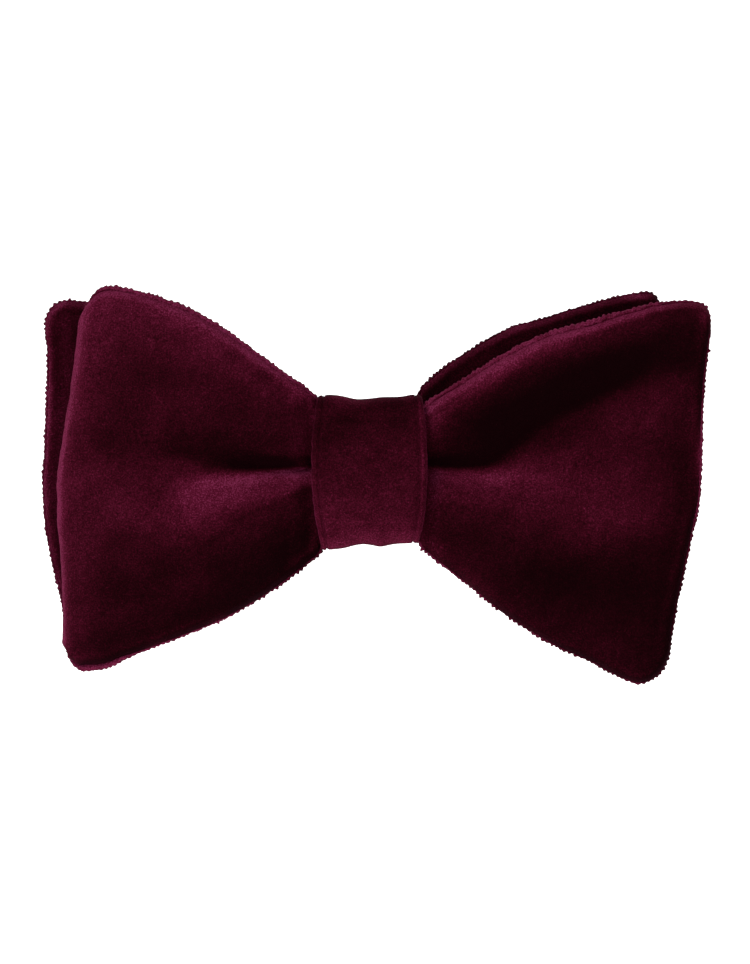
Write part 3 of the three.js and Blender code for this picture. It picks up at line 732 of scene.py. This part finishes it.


# Painted highlights (positive) and painted shade (negative) on the front bow: darker in the creases and the
# slopes under them, lighter on ridges, edges and the fold.
FRONT_LIGHT_AND_SHADE = (
    (-28, -5.5, 9.5, 4.5, 0.17, 12), (-23, -11.5, 7, 3.5, 0.16, 25), (-47, 8, 6, 9, -0.13),
    (-43, -22, 13, 9, -0.22), (-56, 1, 3.5, 12, -0.16), (-30, 22, 20, 8, 0.06, -25),
    (-20.5, 20.6, 10, 1.1, 0.36, -35), (-25, 19.5, 9, 2.2, 0.14, -33), (-36, 29.5, 9, 2, 0.18, -24),
    (-13, 14.2, 2.4, 2, 0.22), (-15, 9, 5, 4, 0.04), (-41, 18, 9, 4, -0.16), (-23, 1.3, 5, 0.8, -0.3),
    (-14, 1.2, 3, 1, 0.2), (-33, 3, 9, 1.8, -0.2, -9), (-28, 6.8, 14, 2, -0.1, -7),
    (-41, 7.5, 4, 4, 0.1, -20), (-25, -1.6, 10, 1.4, 0.16, 3), (-13, 2, 1.6, 6, 0.14),
    (-31, -2.4, 7, 1.8, 0.13, 28), (-31, 8.2, 5, 2, 0.08), (-18, -7.5, 5, 2, 0.12, 12),
    (-40, -5.5, 2.4, 4, -0.12), (-13, -14.5, 5, 3.2, -0.3, 45), (-52, -32.5, 5, 3, -0.14, 10),
    (-50, -36.9, 8, 1.4, 0.3, 6), (-34, -30.3, 13, 1.2, 0.3, 22), (-53.5, 26, 1.6, 6, -0.12, -6),
    (-51.5, -17, 4, 5, 0.08), (-32, -23, 7, 3.5, 0.08), (46, -22, 16, 9, -0.27, -20), (60, 0, 4.5, 22, -0.12),
    (62, 1, 14, 0.8, 0.3, 85), (63, 29.5, 1.8, 3, 0.26), (43, 4, 9, 5, -0.1, 25),
    (46, 17.5, 11, 4, -0.24, 20), (38, 15.5, 13, 2.4, -0.34, 22), (32, 22.5, 13, 2, 0.14, 22),
    (49, 25.5, 11, 2.2, 0.13, 17), (28, 7.5, 10, 5, -0.28, 24), (35, 5.8, 7, 2.8, -0.2, 20),
    (39, 12.5, 7, 4, -0.1, 30), (57, 15, 6, 11, -0.1), (61.3, 19, 1.4, 4, -0.18), (17, 11.5, 5, 3, -0.1, 40),
    (17, 1.8, 6, 1.1, -0.6), (21, 8, 4, 5, -0.14), (26, 2.2, 4, 1.2, -0.12, 20), (29, 12.8, 7, 2.5, -0.1, 15),
    (22, -1.2, 9, 1, 0.1), (47, -8.5, 11, 4, 0.11, 10), (37, -13.5, 6, 3, 0.11), (20, -9, 4, 3.5, 0.08),
    (31, -21, 8, 7, -0.24), (18, -20, 10, 1.6, 0.14, -38), (51, -34, 7, 5, -0.14), (57.5, -9, 2.2, 7, -0.14),
    (55, -25, 1.8, 8, -0.09, -6), (13.3, -11, 2.5, 3.2, -0.14), (24, -4.5, 7, 2, -0.08),
    (-58.2, 1, 1.2, 9, 0.15, -2), (-58.8, -15, 1.1, 7, 0.15, 4), (-56.2, 13, 1.2, 7, 0.13, -10),
    (-54.4, 26, 1.1, 5, 0.1, -8), (-16, 0.1, 4.5, 0.6, 0.25), (-16, 1.5, 4, 0.5, -0.2),
    (-12.3, 4.5, 1.2, 4, 0.13), (-37, 17, 5, 3, -0.09), (-37.5, 5.8, 5, 1.5, -0.08),
    (-32, 23.5, 4.5, 1.8, -0.08, -10), (-26, 18.5, 2, 2.4, -0.07), (-26, -7, 3, 2.4, -0.1, 30),
    (-44.5, -23, 3, 3.5, -0.08), (-46, -14, 5, 3, -0.05), (-39.5, -32.2, 2, 0.9, 0.18, 20),
    (-28, -27.8, 2, 0.9, 0.32, 20), (-55, -35.8, 1.6, 1, 0.2), (24, 15, 5, 2, -0.08, 30),
    (31, 11.5, 8, 1.3, -0.08, 8), (44, 11, 6, 3, -0.07, 30), (38, 28.4, 9, 0.9, 0.16, 14),
    (38, 21.5, 3, 2, 0.06), (61.9, 4, 0.9, 5, 0.3), (59.6, -15, 0.8, 3, 0.18), (18, 0.9, 6, 0.8, 0.12),
    (12.6, -4, 1.2, 4, 0.1), (16, -16, 3, 1.8, 0.08, -40), (48, -14, 3, 2.4, -0.07),
    (54.5, -16, 2.4, 2.4, -0.07), (60.4, 14, 1.2, 4, -0.08), (34, -31.4, 6, 0.9, 0.1, -22),
    (51, -39.3, 4, 0.8, 0.18), (-53.5, 12, 2, 5.5, 0.1, -8), (-56, -4, 1.5, 4, 0.08),
    (-58.8, -18, 0.9, 5, 0.15, 4), (-22, 10.5, 4, 2, -0.08), (-33, 1.8, 6, 1.2, 0.1),
    (-23, 4.5, 3, 1.6, 0.08), (-12.5, 1.3, 1.6, 1.2, 0.2), (-20, -2.6, 6, 1, -0.08, 10),
    (-50.5, 5.5, 2, 2, -0.07), (-47, 24, 3, 2.5, -0.06), (36, 13.5, 10, 1.5, -0.09, 22),
    (47, 19.5, 4, 1.5, -0.07, 25), (22, 3.5, 4, 1.2, -0.07, 15), (55, 18.5, 3, 1.8, 0.07),
    (46.5, 6.5, 3, 2.5, -0.07), (51.5, -9, 1.6, 2.5, 0.08), (44, -7.5, 4, 1.8, -0.06, 20),
    (11, 12, 1.4, 2, 0.15), (28.5, -23, 3, 2, -0.07), (38.5, -28, 2.5, 2.5, -0.07),
    (38, 22.5, 6, 1.4, 0.06, 18), (-39.5, -32.4, 2.4, 0.9, 0.16, 20), (-16.5, -21.5, 2.4, 0.9, 0.16, 35),
    (-58.6, -16, 0.9, 6, 0.14, 4), (-34.5, 2, 4, 1.2, 0.07), (-50, 5, 2, 2, -0.06),
    (30, 11.8, 6, 1.2, -0.08, 12), (41, 16.5, 4, 1.4, -0.07, 35), (10.8, 12, 1.2, 1.6, 0.12),
    (59.8, -6, 1.1, 3.5, -0.12), (61.9, 3, 0.8, 5, 0.2),
)
# Painted shade on the rear bow along its top right, behind the front bow, and painted light at its left,
# beside the front bow's fold.
REAR_LIGHT_AND_SHADE = (
    (33, 23.5, 32, 6.5, -0.38, 22), (20, 23.5, 6, 1.6, -0.16, 38), (-58, 5, 6, 30, 0.06),
    (-57.5, 24, 1.5, 7, 0.15), (-59.2, 0, 1.2, 13, 0.12), (51, 33, 3, 0.9, 0.3),
)
# Painted light and shade on the knot: darker on its upper left, with a painted highlight along its top edge
# and right side.
KNOT_LIGHT_AND_SHADE = (
    (-5, 8.5, 6, 4, -0.18), (6, 8.5, 3, 2.5, -0.08), (-5.5, 1, 3, 4, -0.08), (-4, 12.8, 4, 1.6, 0.24),
    (0, 14.4, 12, 1.2, 0.62), (10.2, 11.5, 1.5, 2.5, 0.16), (-6, -9, 3, 3, -0.06), (10.4, 2, 0.9, 10, 0.14),
    (-8.2, 3, 1.2, 3, -0.1), (-1.5, 12.6, 3, 0.9, 0.14), (-5.5, -12, 3, 1.4, -0.06),
)


FRONT_STRIP = (FRONT_RIGHT, FRONT_LEFT, FRONT_FOLD)
REAR_STRIP = (REAR_LEFT, REAR_RIGHT, REAR_FOLD)
front = make_strip("front_bow", *FRONT_STRIP, FRONT_BOW_Y, FRONT_VELVET, 1, FRONT_LIGHT_AND_SHADE)
rear = make_strip("rear_bow", *REAR_STRIP, REAR_BOW_Y, SHADED_REAR_VELVET, 31, REAR_LIGHT_AND_SHADE)
for bow, pieces in (("front", front), ("rear", rear)):
    for piece, part in zip(pieces, ("face_panel", "back_panel", "interlining")):
        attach(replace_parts(piece, f"{bow}_bow_{part}"), "bow")

# ---- Ribbons: the knot's wrap and lining, the strap and the label ----


def rounded_path(corners, radii, step):
    """Points along a line of 2-D corners, each rounded to its radius, about a step apart."""
    corners = np.array(corners, float)
    line = [corners[0]]
    for i in range(1, len(corners) - 1):
        here, back, on = corners[i], unit(corners[i - 1] - corners[i]), unit(corners[i + 1] - corners[i])
        half = math.acos(np.clip(back @ on, -1, 1)) / 2
        centre = here + unit(back + on) * radii[i] / math.sin(half)
        start, end = here + back * radii[i] / math.tan(half), here + on * radii[i] / math.tan(half)
        turn = math.pi - 2 * half
        for t in np.linspace(0, 1, max(3, int(turn * radii[i] / step) + 2)):
            along = (start - centre) * math.sin((1 - t) * turn) + (end - centre) * math.sin(t * turn)
            line.append(centre + along / math.sin(turn))
    line.append(corners[-1])
    line = np.array(line)
    run = run_along(line)
    even = np.linspace(0, run[-1], int(run[-1] / step) + 1)
    return resampled(line, run, even)


def rounded_box(front, back, high, radius, step, start_y):
    """A closed path in the y-z plane round a box as high above as below, from the middle of its top."""
    corners = [(start_y, high), (front, high), (front, -high), (back, -high), (back, high), (start_y, high)]
    return rounded_path(corners, [0, radius, radius, radius, radius, 0], step)[:-1]


def ribbon(
    name, path, normals, across, low, high, thick, material, cells, closed=False, relief=None, run_from=0
):
    """A band of cloth along a 3-D path. low and high are its edges along across; relief raises the side that
    the normals point to, given each point's place across; the weave is counted from run_from."""
    count = len(path)
    half = thick / 2
    run = run_along(path)
    low, high = (np.broadcast_to(np.asarray(v, float), (count,)) for v in (low, high))
    sides = np.linspace(0, math.pi, 7)[1:-1]
    share = np.concatenate([[0, 0.012, 0.03, 0.05], np.linspace(0.075, 0.925, cells), [0.95, 0.97, 0.988, 1]])
    # The section goes over the top, round one edge, back under and round the other edge.
    section = [(t, 0, 1) for t in share] + [(1, math.sin(t), math.cos(t)) for t in sides]
    section += [(t, 0, -1) for t in np.linspace(1, 0, 12)] + [(0, -math.sin(t), -math.cos(t)) for t in sides]
    over, beyond, out = np.array(section).T
    place = mix((low + half)[:, None], (high - half)[:, None], over) + half * beyond
    out = np.broadcast_to(half * out, place.shape)
    if relief is not None:
        out = out + relief(place) * (out > -half * 0.5)
    points = path[:, None] + np.array(across) * place[..., None] + normals[:, None] * out[..., None]
    ring = place.shape[1]
    flat = points.reshape(-1, 3)
    way = (normals[:, None] * np.sign(out)[..., None]).reshape(-1, 3)
    faces = oriented(flat, grid_faces(ring, count, close_rows=True, close_columns=closed), way).tolist()
    if not closed:
        first, last = list(range(ring)), list(range((count - 1) * ring, count * ring))
        faces += [first, last]
    uv = np.stack([np.broadcast_to(run[:, None] + run_from, place.shape), place], -1).reshape(-1, 2)
    made = make_object(name, flat, faces, material, uv)
    if not closed:
        facing_out(made)
        ends = {*first, *last}
        for edge in made.data.edges:
            edge.use_edge_sharp = ends.issuperset(edge.vertices)
    made["length_mm"] = float(run[-1])
    return made


def side_path(line):
    """A path in the y-z plane as 3-D points, with normals that point away from the path's middle."""
    path = np.stack([np.zeros(len(line)), line[:, 0], line[:, 1]], 1)
    return path, unit(np.cross(np.gradient(path, axis=0), ALONG_X))


# The wrap starts under its own lap at the back, passes over the top, down the front and up the back again.
wrap_half = WRAP_THICK / 2
front_y, top_z = KNOT_FRONT_Y + wrap_half, KNOT_HALF_HEIGHT - wrap_half
inner_y, outer_y = KNOT_BACK_Y - wrap_half - 1.7, KNOT_BACK_Y - wrap_half
wrap_corners = [(inner_y, -3), (inner_y, top_z), (front_y, top_z), (front_y, -top_z)]
wrap_corners += [(outer_y, -top_z), (outer_y, LAP_EDGE_Z)]
wrap_path, wrap_normals = side_path(rounded_path(wrap_corners, [0, 2, 3.0, 3.4, 2, 0], 0.3))
left_edge = through((-14.6, 8.8), (-11, 9.6), (-6, 10.4), (0, 10.75), (7, 10.6), (11, 10.1), (14, 9.7))
right_edge = through((-14.6, 9.2), (-11, 9.9), (-6, 10.6), (0, 10.85), (7, 10.7), (11, 10.3), (14, 9.9))
at_front = part_of((-62 - wrap_path[:, 1]) / 12)
edge_points = np.stack([wrap_path[:, 2], wrap_path[:, 1], wrap_path[:, 0]], 1)
ragged = 0.12 * noise(edge_points, 1.2, 40) + 0.08 * noise(edge_points, 0.5, 41)
wrap_low = -mix(9.4, left_edge(wrap_path[:, 2]), at_front) - ragged
wrap_high = mix(9.4, right_edge(wrap_path[:, 2]), at_front) + 0.12 * noise(edge_points, 1.1, 43)
top_wave = through(
    (-9.6, 0.35), (-7, 0.25), (-5, 0.1), (-2.5, -0.4), (0.3, -0.15), (2.4, 0.1), (6, 0.2), (8, 0.5), (10, 0.4)
)
bottom_wave = through(
    (-9, 0.8), (-5.3, 0.25), (-1.6, -0.45), (0.3, -0.35), (2.2, -0.1), (5.9, -0.65), (9, -0.6)
)


def wrap_relief(x):
    """The turned edges, the hollows of the wrap and its uneven top and bottom."""
    z = np.broadcast_to(wrap_path[:, 2:3], x.shape)
    face = np.broadcast_to(at_front[:, None], x.shape)
    to_edge = np.minimum(x - wrap_low[:, None], wrap_high[:, None] - x)
    seam = 0.55 * np.exp(-(((to_edge - 1.25) / 0.2) ** 2))
    rim = -0.3 * part_of(1 - to_edge / 1.2) ** 2
    spots = np.stack([x, z * 0.9, z * 0], -1)
    hollow = 0.22 * noise(spots, 5.5, 51) + 0.1 * noise(spots, 2.2, 52)
    belly = 1.8 * part_of(1 - (z / 13.5) ** 2) - 0.9 * part_of(np.abs(x) / 10.7) ** 3.5
    top = part_of((z - 11) / 2.4) * top_wave(x)
    bottom = part_of((-z - 11) / 2.4) * bottom_wave(x)
    return -seam + rim + face * (hollow + belly * part_of((14 - np.abs(z)) / 5)) + top + bottom


wrap = ribbon(
    "knot_wrap_cloth", wrap_path, wrap_normals, ALONG_X, wrap_low, wrap_high, WRAP_THICK, KNOT_VELVET, 60,
    relief=wrap_relief,
)
# Painted light and shade on the knot: slopes facing down and faces turned to the front are lighter, so its
# lower half is lighter, and the strokes add more.
paint_light_and_shade(wrap, 61, KNOT_LIGHT_AND_SHADE, lean=(-0.12, -0.3, -0.52))
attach(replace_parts(wrap, "knot_wrap"), "bow")
lining_run = side_path(rounded_box(-79.75, -59.3, 12.15, 2.6, 0.8, -69))
lining_edges = -LINING_WIDTH / 2, LINING_WIDTH / 2
lining = ribbon("knot_lining", *lining_run, ALONG_X, *lining_edges, 0.5, CANVAS, 10, closed=True)
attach(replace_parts(lining, "knot_interlining"), "bow")


def around(radius, angle, height=0.0):
    """A point at a strap angle, counted from the front towards +X."""
    return [radius * math.sin(angle), -radius * math.cos(angle), height]


def strap_run(*legs):
    """A path round the neck: (radius, from, to) in degrees is a length of strap, and (radius, radius, at,
    way) is a fold between two layers round a bar, standing out along way."""
    path, normals = [], []
    for leg in legs:
        if len(leg) == 3:
            radius, a, b = leg
            steps = max(3, int(abs(b - a) * math.pi / 180 * radius / 0.7))
            for angle in np.radians(np.linspace(a, b, steps)):
                path.append(around(radius, angle))
        else:
            first, last, at, way = leg
            angle = math.radians(at)
            outwards = np.array([math.sin(angle), -math.cos(angle), 0])
            along = np.array([math.cos(angle), math.sin(angle), 0]) * way
            centre, turn_radius = outwards * (first + last) / 2, (first - last) / 2
            for turn in np.linspace(0, math.pi, 14)[1:-1]:
                reach = turn_radius * math.cos(turn) * outwards
                path.append(centre + reach + abs(turn_radius) * math.sin(turn) * along)
    path = np.array(path)
    ahead = unit(np.gradient(path, axis=0))
    return path, unit(np.cross(ahead, [0, 0, 1.0]))


def strap(name, node, legs, first_angle, thick=STRAP_THICK, height=STRAP_HEIGHT):
    """A length of strap in place of a CAD node. Its ribs are counted from its first angle."""
    path, normals = strap_run(*legs)
    start = math.radians(first_angle) * STRAP_RADIUS
    edges = -height / 2, height / 2
    made = ribbon(name, path, normals, ALONG_Z, *edges, thick, STRAP_CLOTH, 22, run_from=start)
    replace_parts(made, node)
    return made


R, IN = STRAP_RADIUS, INNER_LAYER_RADIUS
tab_legs = [(IN, 11.8, EYE_BAR_AT), (IN, R, EYE_BAR_AT, 1), (R, EYE_BAR_AT, -64)]
# Each of these crosses a flex line, with the bodies on either side of it and a spread in degrees to each
# side; these three are listed but not used.
crossing = (
    ("strap_front_left", "strap_front", "bow", "left_length", 16, tab_legs),
    ("strap_side_left", "strap_left", "left_length", "rear_left_length", 10, [(R, -64, -120)]),
    ("strap_back_left", "strap_rear_left", "rear_left_length", "rear_length", 10, [(R, -120, -166)]),
    ("strap_back_right", "strap_rear", "rear_length", "end_length", 10, [(R, -166, -232)]),
)
for hinge, (name, node, before, after, spread, legs) in zip(HINGES, crossing):
    made = strap(name, node, legs, legs[0][1])
    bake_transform(made)
end_legs = [(R, 128, HOOK_BAR_AT), (R, IN, HOOK_BAR_AT, -1), (IN, HOOK_BAR_AT, RETURN_LAYER_END)]
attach(strap("strap_hook_end", "strap_end", end_legs, 128), "end_length")
back_legs = [(RETURN_RADIUS, 43.5, SLIDE_AT), (RETURN_RADIUS, TAIL_RADIUS, SLIDE_AT, 1)]
back_legs += [(TAIL_RADIUS, SLIDE_AT, 91)]
back = strap("strap_return_end", "strap_return", back_legs, 44, RETURN_THICK, RETURN_HEIGHT)
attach(back, "slide_and_return")

# ---- Sewing ----


def thread_mesh(runs, radius, sides=7):
    """Round threads along lines of points, as points and faces."""
    points, faces = [], []
    for line in runs:
        line = np.array(line, float)
        ahead = unit(np.gradient(line, axis=0))
        side = unit(np.cross(ahead[0], [0.31, 0.52, 0.79]))
        start = len(points)
        for place, along in zip(line, ahead):
            side = unit(side - along * (side @ along))
            up = np.cross(along, side)
            for k in range(sides):
                angle = math.tau * k / sides
                points.append(place + radius * (math.cos(angle) * side + math.sin(angle) * up))
        faces += grid_faces(sides, len(line), close_rows=True, start=start).tolist()
        faces.append(list(range(start, start + sides))[::-1])
        faces.append(list(range(len(points) - sides, len(points))))
    return points, faces


def threads(name, runs, radius, body, node=None):
    """Rows of thread that ride on a body, in place of a CAD node where one is named."""
    points, faces = thread_mesh(runs, radius)
    made = facing_out(make_object(name, points, faces, THREAD))
    if node:
        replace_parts(made, node)
    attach(made, body)


def smooth_line(points, per):
    """A rounded line through points."""
    points = np.array(points, float)
    place = np.arange(len(points))
    curves = [through(*zip(place, points[:, k])) for k in range(3)]
    fine = np.linspace(0, len(points) - 1, (len(points) - 1) * per + 1)
    return np.stack([c(fine) for c in curves], 1)


def zigzag(radius_at, angle, lift, wide=1.3, half_high=7, pitch=0.36):
    """Close slanting stitches across a strap, at one angle round the neck."""
    points = []
    count = int(2 * half_high / pitch)
    for i in range(count + 1):
        turn = math.radians(angle) + (wide / 2 / radius_at) * (1 if i % 2 else -1)
        z = 2 * half_high * i / count - half_high
        points.append(around(radius_at + lift * 0.4, turn, z))
        if i < count:
            points.append(around(radius_at - lift, math.radians(angle), z + half_high / count))
    return smooth_line(points, 3)


tack_at = math.degrees(math.atan2(13.4, 55.3))
tab_tacks = [zigzag(IN - 0.62, tack_at, 0.06), zigzag(R + 0.62, tack_at, -0.06)]
threads("tab_bar_tack_stitches", tab_tacks, 0.13, "bow", "tab_bar_tack")
slide_tacks = [zigzag(TAIL_RADIUS - RETURN_THICK / 2 - 0.06, 94, 0.06)]
threads("slide_bar_tack_stitches", slide_tacks, 0.13, "slide_and_return", "slide_bar_tack")

# Two layers of five turns of thread, which cross as they go back.
loop_line = rounded_box(-78.85, -62.35, 11.75, 2, 1.2, -70)
winding = []
for layer in range(2):
    for turn in range(5):
        for i, (y, z) in enumerate(loop_line):
            share = (turn + i / len(loop_line)) / 5
            grow = 1 + 0.018 * layer
            x = (-1.25 + 2.5 * share) * (1 if layer == 0 else -1)
            winding.append((x, (y + 70.6) * grow - 70.6, z * grow))
threads("gathering_windings", [winding], 0.24, "bow", "gathering_thread")

# Slip stitches go from the lap's face, over its edge, and into the layer below.
slip = []
for i in range(9):
    x = -8.4 + i * 2.05
    wobble = 0.12 * math.sin(i * 2.3)
    stitch = [
        (-0.45, outer_y + 0.45, -0.95 + wobble),
        (-0.35, outer_y + wrap_half + 0.12, -0.75 + wobble),
        (0, outer_y + wrap_half + 0.05, -0.1),
        (0.15, outer_y + 0.1, 0.28),
        (0.3, inner_y + wrap_half + 0.14, 0.55),
        (0.5, inner_y + wrap_half - 0.3, 0.9 + wobble),
    ]
    slip.append(smooth_line([(x + along, y, LAP_EDGE_Z + up) for along, y, up in stitch], 6))
threads("knot_lap_stitches", slip, 0.16, "bow", "knot_stitches")

# The label's ends are turned under and caught down with small stitches.
label_half = math.degrees(7.4 / R)
face_r, under_r = R - STRAP_THICK / 2 - 0.52, R - STRAP_THICK / 2 - 0.16
near_end, far_end = LABEL_AT - label_half, LABEL_AT + label_half
label_run = strap_run(
    (under_r, near_end + 2.2, near_end),
    (under_r, face_r, near_end, -1),
    (face_r, near_end, far_end),
    (face_r, under_r, far_end, 1),
    (under_r, far_end, far_end - 2.2),
)
label = ribbon("label_cloth", *label_run, ALONG_Z, -6, 6, 0.3, LABEL_CLOTH, 16)
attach(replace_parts(label, "woven_label"), "rear_length")
caught = []
spread = 0.5 / R
for end_at in (-1, 1):
    turn = math.radians(LABEL_AT + end_at * (label_half - 0.75))
    for i in range(7):
        z = -5.1 + i * 1.7
        stitch = ((0.1, -1, -0.35), (-0.2, -0.7, -0.25), (-0.22, 0.7, 0.25), (0.1, 1, 0.35))
        line = [around(face_r + out, turn + spread * on, z + up) for out, on, up in stitch]
        caught.append(smooth_line(line, 4))
threads("label_stitches", caught, 0.1, "rear_length")

# ---- Metal ----

for name in ("eye", "hook", "slide"):
    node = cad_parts[name]
    node.data.materials.clear()
    node.data.materials.append(NICKEL)
    bevel = node.modifiers.new("rounded edges", "BEVEL")
    bevel.width = 0.22 * MM
    bevel.segments = 3
    bevel.limit_method = "ANGLE"
    bevel.angle_limit = math.radians(32)
    smooth = node.modifiers.new("even shading", "WEIGHTED_NORMAL")
    smooth.keep_sharp = True

# ---- What the cloth was cut to ----


def flat_area(flat, loop):
    """The area of a strip before gathering, in square metres."""
    total = 0
    for wing, sides in ((flat, 1), (loop, 2)):
        s = np.linspace(0, wing["reach"], 300)
        total += sides * np.sum((wing["top"](s) - wing["bottom"](s))) * (s[1] - s[0])
    return float(total) * 1e-6


for pieces, (flat, loop, fold) in ((front, FRONT_STRIP), (rear, REAR_STRIP)):
    for piece, share in zip(pieces, (1, 1, 0.9)):
        flat_area(flat, loop) * share

# ---- Camera, lights and stage ----

scene = bpy.context.scene
camera = bpy.data.objects.new("camera", bpy.data.cameras.new("camera"))
scene.collection.objects.link(camera)
camera.data.lens = 180
camera.data.clip_start = 0.01
camera.location = (0.0011, -0.979, -0.0019)
camera.rotation_euler = (math.pi / 2, 0, 0)
scene.camera = camera


def area_light(name, place, target, size, power):
    light = bpy.data.lights.new(name, "AREA")
    light.shape = "DISK"
    light.size = size
    light.energy = power
    made = bpy.data.objects.new(name, light)
    made.location = place
    made.rotation_euler = (Vector(target) - Vector(place)).to_track_quat("-Z", "Y").to_euler()
    scene.collection.objects.link(made)


BOW_MIDDLE = (0, -0.07, 0)
area_light("key", (-0.42, -0.72, 0.85), BOW_MIDDLE, 0.45, 11.5)
area_light("fill", (0.7, -0.9, 0.2), BOW_MIDDLE, 0.9, 2.2)
area_light("back", (0.3, 0.8, 0.7), (0, 0, 0), 0.7, 8)

world = bpy.data.worlds.new("studio")
scene.world = world
world.use_nodes = True
studio = world.node_tree.nodes["Background"]
studio.inputs["Color"].default_value = (1, 1, 1, 1)
seen = world.node_tree.nodes.new("ShaderNodeLightPath").outputs["Is Camera Ray"]
brightness = world.node_tree.nodes.new("ShaderNodeMapRange")
brightness.inputs["To Min"].default_value = 0.2
brightness.inputs["To Max"].default_value = 1.0
world.node_tree.links.new(seen, brightness.inputs["Value"])
world.node_tree.links.new(brightness.outputs["Result"], studio.inputs["Strength"])
scene.view_settings.view_transform = "Standard"

# A paper sweep: a floor that curves up into a wall behind, in metres.
FLOOR_Z, FLOOR_HALF, SWEEP_AT, SWEEP_RADIUS, WALL_TOP = -0.115, 9, 0.9, 0.6, 2.4
profile = [(-FLOOR_HALF, FLOOR_Z), (SWEEP_AT, FLOOR_Z)]
for turn in np.radians(np.linspace(7.5, 90, 12)):
    profile.append((SWEEP_AT + SWEEP_RADIUS * math.sin(turn), FLOOR_Z + SWEEP_RADIUS * (1 - math.cos(turn))))
profile.append((SWEEP_AT + SWEEP_RADIUS, WALL_TOP))
backdrop_points = [(x / MM, y / MM, z / MM) for x in (-FLOOR_HALF, FLOOR_HALF) for y, z in profile]
count = len(profile)
backdrop_faces = [(i, i + 1, count + i + 1, count + i) for i in range(count - 1)]
paper = Nodes("backdrop_paper")
grain = paper.noise(300, 2, 0.5)
paper.set(Base_Color=paper.ramp(grain, [(0.3, (0.90, 0.90, 0.90)), (0.7, (0.93, 0.93, 0.93))]))
paper.set(Roughness=0.95, Emission_Color=(1, 1, 1, 1), Emission_Strength=0.78)
backdrop = make_object("backdrop", backdrop_points, backdrop_faces, paper.material)
